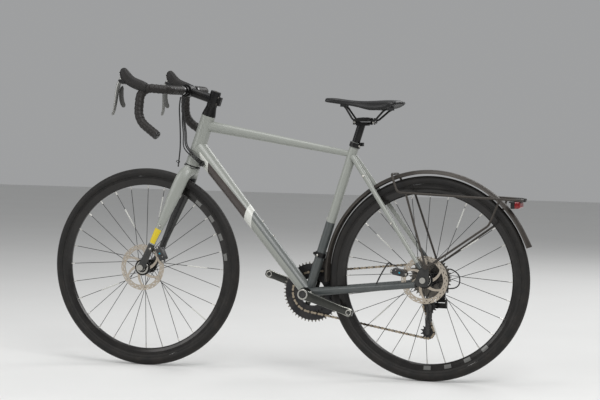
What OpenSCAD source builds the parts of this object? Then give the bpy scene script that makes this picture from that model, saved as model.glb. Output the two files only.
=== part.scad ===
// Road bicycle with disc brakes, a rear mudguard and a pannier rack.
// +X forward, +Y to the rider's left, +Z up; the ground is z = 0 under the bottom bracket.

/* [Wheels] */
// Outside radius of both tyres
wheel_r = 344; // [342:0.5:345]
// Radius of the round tyre section
tyre_sec = 16.5; // [15.5:0.1:16.8]
// Spokes in each wheel
spokes = 28; // [24:4:32]
// Brake disc radius
disc_r = 80; // [78:0.5:80]

/* [Frame] */
// Wall-side bore radius of the seat tube
post_bore = 13.65; // [13.62:0.01:13.7]
// Down tube radius at the bottom bracket
down_r = 22; // [20:0.5:24]
// Seatstay radius at the top
stay_r = 9; // [8:0.5:10]

/* [Cockpit] */
// Height of the saddle top
saddle_top = 937; // [925:1:945]
// Half the saddle's width at the back
saddle_half = 72; // [66:1:76]
// Handlebar tube radius
bar_r = 12; // [11.5:0.1:12]
// Tape radius over the bar
tape_r = 15.5; // [15:0.1:16]

/* [Rear rack] */
// Half the distance between the two rails
rack_half = 58; // [54:1:62]
// Rail tube radius
rail_r = 4; // [3.5:0.1:4.5]

/* [Hidden] */
$fn = 48;
bb = [0, 0, 278];
rear = [-421, 0, 344];
front = [595, 0, 344];
head_dir = [-0.3079, 0, 0.9514];
head_fwd = [0.9514, 0, 0.3079];
head_low = [428.6, 0, 704];
seat_dir = [-0.294, 0, 0.9558];
bar_c = [450, 0, 960];
pitch = 12.7;
chain_y = -39.5;
big_y = -46.5;
teeth_ring = 50;
teeth_inner = 34;
teeth_cog = 25;
teeth_small = 11;
guide = [-416, 0, 248];
tension = [-411.660, 0, 161.108];
cogs = [34, 30, 27, 25, 23, 21, 19, 17, 15, 13, 11];
post_top = bb + seat_dir * 612;
post_end = bb + seat_dir * 430;
collar_at = bb + seat_dir * 541;
tube_top = bb + seat_dir * 540;
lever_y = 210;
port = [384, 26, 708];
port_dir = [-0.62, -0.42, -0.66];
port_side = [0.73, 0, -0.69];

// ---------- directions and tubes ----------
function unit(v) = v / norm(v);
function euler(ex, ey, ez) =
    ex[2] > 0.99999 ? [atan2(-ey[0], ey[1]), -90, 0] :
    ex[2] < -0.99999 ? [atan2(ey[0], ey[1]), 90, 0] :
    [atan2(ey[2], ez[2]), -asin(ex[2]), atan2(ex[1], ex[0])];
function side_of(ez) = unit(cross(abs(ez[2]) < 0.9 ? [0, 0, 1] : [0, 1, 0], ez));
module along(p, q) {
    ez = unit(q - p);
    ex = side_of(ez);
    translate(p) rotate(euler(ex, cross(ez, ex), ez)) children();
}
module rod(p, q, r1, r2 = 0) {
    along(p, q) cylinder(h = norm(q - p), r1 = r1, r2 = r2 == 0 ? r1 : r2);
}
function bend_cut(pts, i, R) =
    let (a = unit(pts[i - 1] - pts[i]), b = unit(pts[i + 1] - pts[i])) R / tan(acos(a * b) / 2);
function bend_arc(pts, i, R, k) =
    let (a = unit(pts[i - 1] - pts[i]), b = unit(pts[i + 1] - pts[i]), h = acos(a * b) / 2,
        c = pts[i] + unit(a + b) * R / sin(h), e = unit(pts[i] + a * R / tan(h) - c))
    [for (j = [0 : k]) let (w = (180 - 2 * h) * j / k) c + R * (e * cos(w) - a * sin(w))];
function route(pts, bends, k) = concat([pts[0]],
    [for (i = [1 : len(pts) - 2]) each bend_arc(pts, i, bends[i - 1], k)], [pts[len(pts) - 1]]);
module sweep(S, r, m, w = [1]) {
    n = len(S);
    T = [for (i = [0 : n - 1]) unit(unit(S[min(i + 1, n - 1)] - S[max(i - 1, 0)]
        + (i == 0 ? S[1] - S[0] : i == n - 1 ? S[n - 1] - S[n - 2] : [0, 0, 0])))];
    U = [for (i = 0, u = side_of(T[0]); i < n;
        i = i + 1, u = i < n ? unit(u - (u * T[i]) * T[i]) : u) u];
    polyhedron(
        points = [for (i = [0 : n - 1]) let (v = cross(T[i], U[i]), q = r[min(i, len(r) - 1)])
            for (j = [0 : m - 1]) S[i] + q * (U[i] * cos(360 * j / m) + w[min(i, len(w) - 1)] * v * sin(360 * j / m))],
        faces = concat(
            [[for (j = [0 : m - 1]) j]],
            [for (i = [0 : n - 2]) for (j = [0 : m - 1]) let (a = i * m, b = (j + 1) % m)
                each [[a + j, a + m + j, a + b], [a + b, a + m + j, a + m + b]]],
            [[for (j = [0 : m - 1]) (n - 1) * m + m - 1 - j]]));
}
module pipe(pts, r, bends, m = 14, k = 6) { sweep(route(pts, bends, k), [r], m); }
module axle_tube(x, z, y0, y1, r) {
    translate([x, y0, z]) rotate([-90, 0, 0]) cylinder(h = y1 - y0, r = r);
}
module ring_y(c, y0, y1, ro, ri) {
    difference() {
        axle_tube(c[0], c[2], y0, y1, ro);
        axle_tube(c[0], c[2], y0 - 1, y1 + 1, ri);
    }
}
module turned(c) { translate([c[0], 0, c[2]]) rotate([-90, 0, 0]) rotate_extrude() children(); }

// ---------- cords ----------
function cr(a, b, c, d, t) = 0.5 * (2 * b + (c - a) * t + (2 * a - 5 * b + 4 * c - d) * t * t
    + (3 * b - a - 3 * c + d) * t * t * t);
function smooth(P, k) = [for (i = [0 : len(P) - 2]) for (j = [0 : k - 1])
    cr(P[max(i - 1, 0)], P[i], P[i + 1], P[min(i + 2, len(P) - 1)], j / k), P[len(P) - 1]];
module cord(P, r, k = 4) { sweep(smooth(P, k), [r], 8); }

// ---------- chain line ----------
wheels_c = [bb, rear, guide, tension];
wheels_n = [teeth_inner, teeth_cog, teeth_small, teeth_small];
wheels_s = [1, 1, -1, 1];
function pr(n) = pitch * n / 360 * 180 / PI;
wheels_r = [for (n = wheels_n) pr(n)];
function nx(i) = (i + 1) % 4;
function gap_d(i) = wheels_c[nx(i)] - wheels_c[i];
function gap_k(i) = wheels_s[i] * wheels_r[i] - wheels_s[nx(i)] * wheels_r[nx(i)];
function head(i) = let (d = gap_d(i)) atan2(d[2], d[0]) + asin(gap_k(i) / norm(d));
function run_len(i) = sqrt(pow(norm(gap_d(i)), 2) - pow(gap_k(i), 2));
function wrap(a) = a - 360 * floor(a / 360);
function arc_deg(i) = wrap((head(i) - head((i + 3) % 4)) * wheels_s[i]);
function arc_len(i) = arc_deg(i) * PI / 180 * wheels_r[i];
function start_of(i) = i == 0 ? 0 : start_of(i - 1) + arc_len(i - 1) + run_len(i - 1);
starts = [for (i = [0 : 4]) start_of(i == 4 ? 3 : i) + (i == 4 ? arc_len(3) + run_len(3) : 0)];
links = round(starts[4] / pitch);
step = starts[4] / links;
function on_wheel(i, h, off) = let (s = wheels_s[i], r = wheels_r[i] + s * off)
    [wheels_c[i][0] + s * r * sin(h), wheels_c[i][2] - s * r * cos(h)];
function chain_xz(t, off = 0) =
    let (i = t < starts[1] ? 0 : t < starts[2] ? 1 : t < starts[3] ? 2 : 3, u = t - starts[i])
    u < arc_len(i)
        ? on_wheel(i, head((i + 3) % 4) + wheels_s[i] * u / wheels_r[i] * 180 / PI, off)
        : let (p = on_wheel(i, head(i), off), w = u - arc_len(i))
            [p[0] + w * cos(head(i)), p[1] + w * sin(head(i))];
function valley(i) = let (u = ceil(starts[i] / step) * step - starts[i])
    head((i + 3) % 4) + wheels_s[i] * u / wheels_r[i] * 180 / PI - 90 * wheels_s[i];
function sprocket(n, turn) = [for (i = [0 : n - 1]) each
    let (rp = pr(n), a = turn + 360 * i / n)
    [for (p = [[-5.35, 3.2], [-4.05, -0.9], [-1.7, -4.1], [1.7, -4.1], [4.05, -0.9], [5.35, 3.2]])
        let (q = a + p[0] / rp * 180 / PI) [(rp + p[1]) * cos(q), (rp + p[1]) * sin(q)]]];
module cog(c, n, turn, y, t) {
    translate([c[0], y + t / 2, c[2]]) rotate([90, 0, 0]) linear_extrude(t)
        polygon(sprocket(n, turn));
}

// ---------- frame ----------
module head_shape(g = 0) { rod(head_low, head_low + head_dir * 179, 26 + g, 24 + g); }
module seat_shape(g = 0) { rod(bb, tube_top, 15.9 + g); }
module bb_shape(g = 0) { axle_tube(0, 278, -34, 34, 21 + g); }
down_head = bb + [0.6428, 0, 0.766] * 636;
module down_shape(g = 0) {
    rod(bb, bb + [0.6428, 0, 0.766] * 400, down_r + g, 25 + g);
    rod(bb + [0.6428, 0, 0.766] * 400, down_head, 25 + g, 30 + g);
}
module head_tube() {
    color("silver") difference() {
        head_shape();
        rod(head_low - head_dir, head_low + head_dir * 180, 17);
        rod(head_low - head_dir, head_low + head_dir * 6, 22);
        rod(head_low + head_dir * 173, head_low + head_dir * 180, 22);
    }
}
module top_shape(g = 0) { rod([372, 0, 839], [-144, 0, 754], 19 + g, 10.4 + g); }
module top_tube() {
    color("silver") difference() {
        top_shape();
        head_shape(0.02);
        seat_shape(0.02);
    }
}
module down_tube() {
    color("silver") difference() {
        down_shape();
        head_shape(0.02);
        bb_shape(0.02);
        rod(bb - seat_dir * 30, bb + seat_dir * 200, 15.92);
        top_shape(0.02);
        rod(port - port_dir * 30, port + port_dir * 12, 9);
    }
}
module seat_tube() {
    color("gray") difference() {
        seat_shape();
        bb_shape(0.02);
        rod(bb + seat_dir * 372, tube_top + seat_dir, post_bore);
    }
}
module bottom_bracket() { color("gray") difference() { bb_shape(); axle_tube(0, 278, -35, 35, 17); } }
module dropout(s) {
    y = s > 0 ? 71.3 : -79.3;
    difference() {
        translate([0, y + 8, 0]) rotate([90, 0, 0]) linear_extrude(8) polygon([[-398, 350],
            [-404, 372], [-414, 384], [-426, 398], [-436, 394], [-440, 372], [-441, 340],
            [-437, 326], s > 0 ? [-430, 322] : [-438, 308], s > 0 ? [-420, 322] : [-424, 308],
            [-404, 324], [-392, 326], [-388, 338]]);
        axle_tube(-421, 344, -90, 90, 6.01);
    }
}
function stay_y(s) = s > 0 ? 34 : -30;
module chainstay(s) {
    difference() {
        union() {
            sweep(route([[-14, s * 27, 282], [-120, stay_y(s), 295], [-397, s * 74, 328]], [90], 5),
                [8.4], 20, [1.62, 1.58, 1.57, 1.56, 1.55, 1.54, 1.53, 1.2]);
            dropout(s);
        }
        bb_shape(0.02);
        if (s > 0) axle_tube(0, 278, 33.98, 50, 22.08);
        else axle_tube(0, 278, -50, -33.98, 22.08);
        rod(bb - seat_dir * 30, bb + seat_dir * 200, 15.92);
        translate([-421, s * 71 - (s > 0 ? 20 : 0), 344]) rotate([-90, 0, 0])
            cylinder(h = 20, r = 26);
        seatstay_shape(s, 0.02);
        if (s > 0) caliper_cut();
    }
}
module seatstay_shape(s, g = 0) {
    rod([-151, s * 14, 748], [-412, s * 75, 383], stay_r + g, 7.2 + g);
}
module seatstay(s) {
    difference() {
        seatstay_shape(s);
        seat_shape(0.02);
        top_shape(0.02);
        if (s < 0) translate([-200, -0.01, 700]) cube([120, 40, 80]);
        if (s > 0) translate([-200, -39.99, 700]) cube([120, 40, 80]);
    }
}
module chainstay_left() { color("dimgray") chainstay(1); }
module chainstay_right() { color("dimgray") chainstay(-1); }
module seatstay_left() { color("silver") seatstay(1); }
module seatstay_right() { color("silver") seatstay(-1); }
module bearing_cups() {
    color("black") difference() {
        union() {
            rod(head_low - head_dir * 4, head_low + head_dir * 5.9, 21.98);
            rod(head_low - head_dir * 4, head_low - head_dir * 0.05, 27);
            rod(head_low + head_dir * 173.1, head_low + head_dir * 182, 21.98);
            rod(head_low + head_dir * 179.05, head_low + head_dir * 183, 24);
            axle_tube(0, 278, 16, 34, 16.98);
            axle_tube(0, 278, 34.05, 45, 22);
            axle_tube(0, 278, -34, -16, 16.98);
            axle_tube(0, 278, -38.4, -34.05, 22);
        }
        rod(head_low - head_dir * 9, head_low + head_dir * 190, 14.35);
        axle_tube(0, 278, -50, 50, 12.05);
    }
}
module seat_clamp() {
    color("black") difference() {
        union() {
            rod(tube_top - seat_dir * 17, tube_top - seat_dir * 1, 19);
            translate(tube_top - seat_dir * 9 + [-20, 0, 2]) cube([18, 17, 12], center = true);
            axle_tube(tube_top[0] - 19, tube_top[2] - 6, -12, 12, 3.4);
        }
        rod(tube_top - seat_dir * 30, tube_top + seat_dir * 9, 15.92);
        translate(tube_top - seat_dir * 9 + [-24, 0, 2]) cube([24, 2, 30], center = true);
    }
}
mech_pin = [-44.6, -40, 404];
module front_mech_clamp() {
    c = bb + seat_dir * 138;
    color("black") {
        difference() {
            union() {
                rod(c - seat_dir * 8, c + seat_dir * 8, 19);
                translate([-44.6, -24.5, 404]) cube([22, 19, 28], center = true);
                translate([-44.6, -38, 404]) cube([22, 12, 9], center = true);
                axle_tube(c[0] + 19, c[2] + 5, -9, 9, 5);
            }
            seat_shape(0.02);
            translate([-44.6, -40, 404]) cube([16.4, 11.6, 12], center = true);
        }
        rod([-54, -40, 404], [-35, -40, 404], 2);
    }
}

// ---------- rear fittings ----------
module rear_mudguard() {
    color("dimgray") translate(rear) rotate([90, 0, 0]) rotate([0, 0, -4])
        rotate_extrude(angle = 165, $fn = 72) intersection() {
            translate([340, 0]) difference() { circle(24); circle(22.7); }
            translate([350.5, -30]) square([20, 60]);
        }
}
function rail_pts(e = 3) = let (h = rack_half) [[-738, -e, 617], [-738, -h, 617],
    [-322, -h, 632], [-297, -44, 692], [-297, 44, 692], [-322, h, 632], [-738, h, 617], [-738, e, 617]];
rail_bends = [30, 22, 18, 18, 22, 30];
module rack_rails() {
    color("dimgray") {
        pipe(rail_pts(1), rail_r, rail_bends);
    }
}
module rack_struts() {
    color("dimgray") for (s = [-1, 1]) difference() {
        union() {
            rod([-352, s * 58, 627], [-430, s * 84, 391], 3.6);
            pipe([[-671, s * 58, 620], [-636, s * 66, 532], [-432, s * 84, 386]], 3.6, [30]);
            axle_tube(-431, 389, s > 0 ? 79.4 : -89, s > 0 ? 89 : -79.4, 8);
        }
        pipe(rail_pts(), rail_r + 0.02, rail_bends);
    }
}
module tail_light() {
    color("red") difference() {
        union() {
            translate([-731, -33, 588]) cube([31, 66, 23]);
            translate([-731, -14, 606]) cube([41, 28, 5]);
            translate([-744, -12, 610]) cube([34, 24, 12.4]);
        }
        translate([-738, 0, 617]) rotate([90, 0, 0]) translate([0, 0, -40]) cylinder(h = 80, r = 4.02);
    }
}
module caliper(c, a, y) {
    translate([c[0], y, c[2]]) rotate([0, a, 0]) children();
}
rear_cal = [-336, 0, 366];
rear_ang = -10;
front_cal = [524, 0, 393];
front_ang = -66;
module caliper_body(side) {
    difference() {
        union() {
            cube([58, 34, 24], center = true);
            translate([24, 6, 4]) cube([18, 22, 20], center = true);
        }
        translate([-8, 0, -6]) cube([80, 3.4, 36], center = true);
        for (q = [-20, 16]) translate([q, 12 , -20]) cylinder(h = 40, r = 2.4);
    }
}
module caliper_cut() {
    caliper(rear_cal, rear_ang, 55.5) translate([0, 0, 0.01]) cube([59, 35, 24.1], center = true);
    caliper(rear_cal, rear_ang, 55.5) translate([24, 6, 4]) cube([19, 23, 20.1], center = true);
}
module rear_caliper() {
    color("black") caliper(rear_cal, rear_ang, 55.5) caliper_body(1);
}
module rear_axle() {
    color("silver") {
        axle_tube(-421, 344, -79.2, 84, 5.98);
        axle_tube(-421, 344, 79.4, 86, 10);
    }
}
rear_hose_pts = [[-258, 66, 324], [-272, 70, 352], [-288, 70, 380], [-298, 66, 396],
    [-303, 60, 396], [-307, 58, 388]];
loop_pts = [[-409, -84, 341], [-438, -86, 364], [-474, -86, 372], [-502, -86, 354],
    [-506, -86, 326], [-492, -86, 310], [-467, -86, 306]];
module rear_cables() {
    color("black") {
        cord(rear_hose_pts, 2.5);
        cord(loop_pts, 2.3);
    }
}
module chain() {
    color("gray") {
        for (s = [-1, 1]) {
            y0 = chain_y + s * 2.0;
            N = 2 * links;
            polyhedron(
                points = [for (i = [0 : N - 1]) let (a = chain_xz(i * step / 2, -3.6),
                    b = chain_xz(i * step / 2, 3.6)) each [[a[0], y0 - 0.6, a[1]],
                    [b[0], y0 - 0.6, b[1]], [b[0], y0 + 0.6, b[1]], [a[0], y0 + 0.6, a[1]]]],
                faces = [for (i = [0 : N - 1]) for (j = [0 : 3])
                    let (a = 4 * i, b = 4 * ((i + 1) % N), k = (j + 1) % 4)
                    each [[a + j, b + j, a + k], [a + k, b + j, b + k]]]);
        }
        for (i = [0 : links - 1]) let (p = chain_xz(i * step))
            translate([p[0], chain_y - 1.35, p[1]]) rotate([-90, 0, 0]) cylinder(h = 2.7, r = 3, $fn = 6);
    }
}

// ---------- fork and cockpit ----------
module steer_tube(g = 0) { rod(head_low - head_dir * 20, head_low + head_dir * 262, 14.3 + g); }
module fork() {
    color("silver") difference() {
        union() {
            steer_tube();
            rod(head_low - head_dir * 26, head_low - head_dir * 4.3, 27, 27);
            for (s = [-1, 1]) {
                rod([436, s * 14, 684], [452, s * 44, 664], 21, 19);
                rod([452, s * 44, 664], [593, s * 58.6, 347], 18, 9.6);
                translate([595, s * 50.3 + (s > 0 ? 9 : 0), 344]) rotate([90, 0, 0])
                    cylinder(h = 9, r = 14);
            }
        }
        translate([595, -32, 344]) rotate([-90, 0, 0]) cylinder(h = 64, r = 351);
        translate([595, -50.3, 344]) rotate([-90, 0, 0]) cylinder(h = 100.6, r = 90);
        axle_tube(595, 344, -70, 70, 6.01);
        translate([595, 59.3, 344]) rotate([-90, 0, 0]) cylinder(h = 20, r = 14);
        translate([595, -79.3, 344]) rotate([-90, 0, 0]) cylinder(h = 20, r = 14);
        caliper(front_cal, front_ang, 39.7) translate([0, 0, 0]) cube([62, 35, 25], center = true);
    }
}
module front_axle() {
    color("silver") {
        axle_tube(595, 344, -59.2, 62, 5.98);
        axle_tube(595, 344, 59.4, 64, 10);
    }
}
module headset_spacers() {
    color("black") {
        difference() {
            rod(head_low + head_dir * 183.3, head_low + head_dir * 214, 24, 17.5);
            rod(head_low + head_dir * 180, head_low + head_dir * 220, 14.34);
        }
        difference() {
            rod(head_low + head_dir * 262.05, head_low + head_dir * 267, 18);
            rod(head_low + head_dir * 264, head_low + head_dir * 268, 4);
        }
    }
}
stem_mid = head_low + head_dir * 238;
module stem() {
    color("black") difference() {
        union() {
            rod(head_low + head_dir * 214.1, head_low + head_dir * 262, 18.5);
            rod(stem_mid, bar_c, 16, 15);
            axle_tube(bar_c[0], bar_c[2], -23, 23, 21);
            translate(stem_mid - head_fwd * 21) rotate([0, -17.9, 0]) cube([14, 16, 30], center = true);
        }
        steer_tube(0.04);
        axle_tube(bar_c[0], bar_c[2], -30, 30, 15.95);
        translate(stem_mid - head_fwd * 24) rotate([0, -17.9, 0]) cube([24, 2, 60], center = true);
    }
}
function bar_pts(s) = [[450, 0, 960], [450, s * 184, 960], [541, s * 206, 967],
    [545, s * 220, 858], [466, s * 240, 806]];
bar_bends = [50, 38, 70];
function tape_pts(s) = [[450, s * 60, 960], [450, s * 184, 960], [541, s * 206, 967],
    [545, s * 220, 858], [466, s * 240, 806]];
module handlebar() {
    color("black") {
        pipe([for (i = [4 : -1 : 1]) bar_pts(-1)[i], for (i = [1 : 4]) bar_pts(1)[i]], bar_r,
            [70, 38, 50, 50, 38, 70], 24);
        axle_tube(450, 960, -40, 40, 15.9);
    }
}
module bar_tape() {
    color("black") for (s = [-1, 1]) difference() {
        pipe(tape_pts(s), tape_r, bar_bends, 24);
        pipe([for (i = [0 : 4]) bar_pts(s)[i] + (i == 4 ? [-7.6, s * 1.9, -5] : [0, 0, 0])],
            bar_r + 0.1, bar_bends, 24);
        rod([466, s * 240, 806], [430, s * 249.1, 782.3], 20);
    }
}
module hood(s) {
    y = s * lever_y;
    difference() {
        union() {
            rod([528, y - s * 2, 976], [596, y, 997], 17, 15);
            rod([590, y, 988], [594, y, 1027], 16.2, 11);
            translate([594, y, 1025]) sphere(11.9);
            rod([556, y, 968], [592, y, 977], 14, 12.4);
            axle_tube(610, 988, y - 11, y + 11, 8);
            translate([592, y - 11, 984]) cube([18, 22, 11]);
        }
        pipe(tape_pts(s), tape_r + 0.05, bar_bends, 24);
        translate([600, y - 8.5, 940]) cube([40, 17, 58]);
        translate([450, y - 40, 900]) cube([70, 80, 120]);
    }
    axle_tube(610, 988, y - 10, y + 10, 1.75);
}
module hood_left() { color("black") hood(1); }
module hood_right() { color("black") hood(-1); }
lever_pivot = [610, 0, 988];
module lever(s) {
    y = s * lever_y;
    difference() {
        union() {
            axle_tube(lever_pivot[0], lever_pivot[2], y - 8, y + 8, 6);
            pipe([[610, y, 986], [634, y, 966], [630, y + s * 8, 912], [634, y + s * 12, 874]],
                5, [24, 40]);
        }
        axle_tube(lever_pivot[0], lever_pivot[2], y - 20, y + 20, 1.8);
    }
}
module paddle(s) {
    y = s * (lever_y - 11);
    translate([0, y + 1.5, 0]) rotate([90, 0, 0]) linear_extrude(3)
        polygon([[608, 970], [622, 962], [624, 936], [618, 908], [606, 900], [596, 906], [604, 936]]);
}
module lever_left() { color("silver") lever(1); }
module lever_right() { color("silver") lever(-1); }
module paddle_left() { color("lightgray") paddle(1); }
module paddle_right() { color("lightgray") paddle(-1); }
module front_caliper() {
    color("black") caliper(front_cal, front_ang, 39.7) mirror([1, 0, 0]) caliper_body(1);
}
front_hose_pts = [[466, 30, 938], [470, 30, 900], [468, 28, 850], [466, 27, 800],
    [466, 28, 760], [468, 31, 725], [470, 34, 697]];
module front_hose() { color("black") cord(front_hose_pts, 2.5); }
function cable_end(k) = [for (q = [-34, -16, 7]) port + port_side * (4.9 * k) + port_dir * q];
cable_pts = [
    concat([[464, 6, 937], [466, 4, 905], [460, 4, 860], [452, 8, 815], [442, 20, 770]], cable_end(-1)),
    concat([[464, -6, 937], [470, -4, 905], [467, -3, 860], [460, 1, 815], [449, 15, 768]], cable_end(0)),
    concat([[464, -18, 938], [472, -12, 905], [474, -9, 860], [468, -5, 812], [457, 12, 762]], cable_end(1))];
module gear_cables() { color("black") for (p = cable_pts) cord(p, 2.3); }

// ---------- wheels ----------
module tyre(c) {
    color("black") turned(c) intersection() {
        translate([wheel_r - tyre_sec, 0]) difference() { circle(tyre_sec); circle(tyre_sec - 2.8); }
        translate([wheel_r - 26.6, -20]) square([30, 40]);
    }
}
module rim(c) {
    color("black") turned(c) polygon([[286, -4], [286, 4], [290, 7.5], [299, 10.5], [309, 11.8],
        [317, 11.8], [317, 9.6], [311, 9], [307, 3], [307, -3], [311, -9], [317, -9.6],
        [317, -11.8], [309, -11.8], [299, -10.5], [290, -7.5]]);
}
module spoke_set(c, yl, yr, rl, rr) {
    color("silver") for (k = [0 : spokes - 1]) {
        s = k % 2 == 0 ? 1 : -1;
        d = floor(k / 2) % 2 == 0 ? 1 : -1;
        a = 360 / spokes * k;
        fr = s > 0 ? rl : rr;
        y = (s > 0 ? yl : yr) + d * 3.4;
        h = a + d * 68;
        p = c + [fr * cos(h), y, fr * sin(h)];
        q = c + [285.9 * cos(a), s * 2, 285.9 * sin(a)];
        rod(p, q, 1);
        rod(q + (p - q) * 13 / norm(p - q), q, 2);
    }
}
module hub(c, ends, yl, yr, rl, rr, yd) {
    color("black") difference() {
        union() {
            axle_tube(c[0], c[2], -ends, ends, 9);
            axle_tube(c[0], c[2], yr - 4, yl + 4, 14);
            axle_tube(c[0], c[2], yl - 1.4, yl + 1.4, rl + 3);
            axle_tube(c[0], c[2], yr - 1.4, yr + 1.4, rr + 3);
            axle_tube(c[0], c[2], yl, yd - 1.1, 18);
            axle_tube(c[0], c[2], yd + 1.1, yd + 6, 21);
            axle_tube(c[0], c[2], yd - 2, yd + 2, 15.9);
        }
        axle_tube(c[0], c[2], -ends - 1, ends + 1, 6.04);
    }
}
module disc(c, y) {
    color("silver") difference() {
        union() {
            ring_y(c, y - 0.9, y + 0.9, disc_r, 65);
            ring_y(c, y - 0.9, y + 0.9, 31, 16);
            for (a = [0 : 60 : 300]) translate([c[0], y, c[2]]) rotate([0, a, 0])
                translate([27, -0.9, 6]) rotate([0, 24, 0]) cube([46, 1.8, 6]);
        }
        for (a = [0 : 15 : 345]) translate([c[0], 0, c[2]]) rotate([0, a, 0])
            for (q = [70, 75.5]) translate([q, y - 3, q == 70 ? 0 : 4]) rotate([-90, 0, 0])
                cylinder(h = 6, r = 1.9, $fn = 16);
    }
}
module front_tyre() { tyre(front); }
module front_rim() { rim(front); }
module front_spokes() { spoke_set(front, 21, -33, 22, 20); }
module front_hub() { hub(front, 50, 21, -33, 22, 20, 39.7); }
module front_disc() { disc(front, 39.7); }
module rear_tyre() { tyre(rear); }
module rear_rim() { rim(rear); }
module rear_spokes() { spoke_set(rear, 33, -19, 23, 23); }
module rear_hub() {
    color("black") hub_rear();
}
module hub_rear() {
    difference() {
        union() {
            axle_tube(-421, 344, -71, 71, 9);
            axle_tube(-421, 344, -23, 37, 15);
            axle_tube(-421, 344, 31.6, 34.4, 26);
            axle_tube(-421, 344, -20.4, -17.6, 26);
            axle_tube(-421, 344, 33, 54.4, 18);
            axle_tube(-421, 344, 56.6, 62, 21);
            axle_tube(-421, 344, 53.5, 57.5, 15.9);
        }
        axle_tube(-421, 344, -72, 72, 6.04);
    }
}
module rear_disc() { disc(rear, 55.5); }

// ---------- drive ----------
module cassette() {
    color("silver") difference() {
        union() {
            for (i = [0 : 10]) cog(rear, cogs[i], i == 3 ? valley(1) : i * 9, -27.8 - 3.9 * i, 1.6);
            axle_tube(-421, 344, -67.4, -27.2, 16);
        }
        axle_tube(-421, 344, -80, -20, 9.4);
    }
}
arm_dir = [-0.9505, 0, -0.3107];
module crank_arm(s) {
    d = arm_dir * (s > 0 ? 1 : -1);
    y0 = s > 0 ? 46 : -74;
    n = [-d[2], 0, d[0]];
    pz = bb + d * 172.5;
    difference() {
        union() {
            if (s > 0) axle_tube(0, 278, 46, 68, 19);
            if (s < 0) axle_tube(0, 278, -73, -52, 19);
            translate([0, s > 0 ? 71 : -60, 0]) rotate([90, 0, 0]) linear_extrude(s > 0 ? 12 : 13)
                polygon([for (p = [bb + n * 17, bb + d * 50 + n * 14.5, bb + d * 165 + n * 12,
                    bb + d * 165 - n * 12, bb + d * 50 - n * 14.5, bb - n * 17]) [p[0], p[2]]]);
            translate([pz[0], s > 0 ? 59 : -73, pz[2]]) rotate([-90, 0, 0]) cylinder(h = s > 0 ? 12 : 13, r = 14);
        }
        translate([pz[0], -90, pz[2]]) rotate([-90, 0, 0]) cylinder(h = 180, r = 7.14);
        if (s > 0) axle_tube(0, 278, 40, 90, 12.01);
    }
}
module crank_left() { color("dimgray") crank_arm(1); }
module crank_right() {
    color("dimgray") {
        crank_arm(-1);
        axle_tube(0, 278, -60, 66, 12);
        for (a = [25, 115, 205, 295]) translate([0, -55, 278]) rotate([0, a, 0]) {
            translate([0, 0.4, -8]) cube([56, 5.6, 16]);
            translate([56, 6, 0]) rotate([90, 0, 0]) cylinder(h = 5.6, r = 8);
        }
        axle_tube(0, 278, -55, -48.8, 30);
    }
}
module chainrings() {
    color("dimgray") {
        difference() {
            union() {
                cog(bb, teeth_ring, 0, big_y, 1.9);
                ring_y(bb, big_y - 2, big_y - 0.95, 88, 74);
            }
            axle_tube(0, 278, -60, -40, 70);
        }
        difference() {
            union() {
                ring_y(bb, big_y - 0.95, big_y + 0.95, 73, 47);
                for (a = [25, 115, 205, 295]) translate([0, big_y - 2.25, 278]) rotate([0, a, 0])
                    translate([56, 0, 0]) rotate([-90, 0, 0]) cylinder(h = 10.6, r = 5);
            }
            axle_tube(0, 278, -60, -30, 44);
        }
        difference() {
            cog(bb, teeth_inner, valley(0), chain_y, 1.9);
            axle_tube(0, 278, -60, -30, 47);
        }
    }
}
module front_mech_cage() {
    color("dimgray") difference() {
        union() {
            difference() {
                union() {
                    ring_y(bb, -45.4, -44.2, 119, 108);
                    ring_y(bb, -35.2, -34, 119, 94);
                }
                translate([-20, -60, 100]) cube([300, 40, 400]);
                translate([-300, -60, 60]) cube([400, 40, 258]);
                translate([-300, -60, 100]) cube([222, 40, 400]);
            }
            translate([-56, -45.4, 386]) cube([22, 11.4, 2]);
            translate([-49, -45, 387]) cube([9, 7, 15]);
            rod([-52.6, -40, 404], [-36.6, -40, 404], 4.5);
        }
        rod([-60, -40, 404], [-30, -40, 404], 2.05);
    }
}

// ---------- rear mech ----------
pin_a = [0, -86, 300];
pin_b = [0, -76, 264];
module pin_x(p, x0, x1, r) { rod([x0, p[1], p[2]], [x1, p[1], p[2]], r); }
module rear_mech_base() {
    color("black") difference() {
        union() {
            axle_tube(-431, 315, -92, -79.4, 10);
            translate([-467, -92, 292]) cube([36, 12.4, 30]);
        }
        translate([-462.2, -93, 291]) cube([26.4, 15, 15.5]);
        pin_x(pin_a, -470, -420, 2.05);
    }
}
module rear_mech_link() {
    color("gray") {
        pin_x(pin_a, -467, -431, 2);
        pin_x(pin_b, -467, -431, 2);
        pin_x(pin_a, -462, -436, 4.5);
        pin_x(pin_b, -462, -436, 4.5);
        rod([-449, pin_a[1], pin_a[2]], [-449, pin_b[1], pin_b[2]], 3.6);
        rod([-456, pin_a[1], pin_a[2]], [-456, pin_b[1], pin_b[2]], 3.6);
        rod([-442, pin_a[1], pin_a[2]], [-442, pin_b[1], pin_b[2]], 3.6);
    }
}
module rear_mech_knuckle() {
    color("black") difference() {
        union() {
            translate([-467, -82, 240]) cube([36, 13, 30]);
            translate([-440, -70.2, 240]) cube([26, 12.2, 18]);
            axle_tube(guide[0], guide[2], -70.2, -58, 11);
        }
        translate([-462.2, -83, 257]) cube([26.4, 15, 16]);
        pin_x(pin_b, -470, -420, 2.05);
        axle_tube(guide[0], guide[2], -90, -50, 4.05);
    }
}
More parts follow.
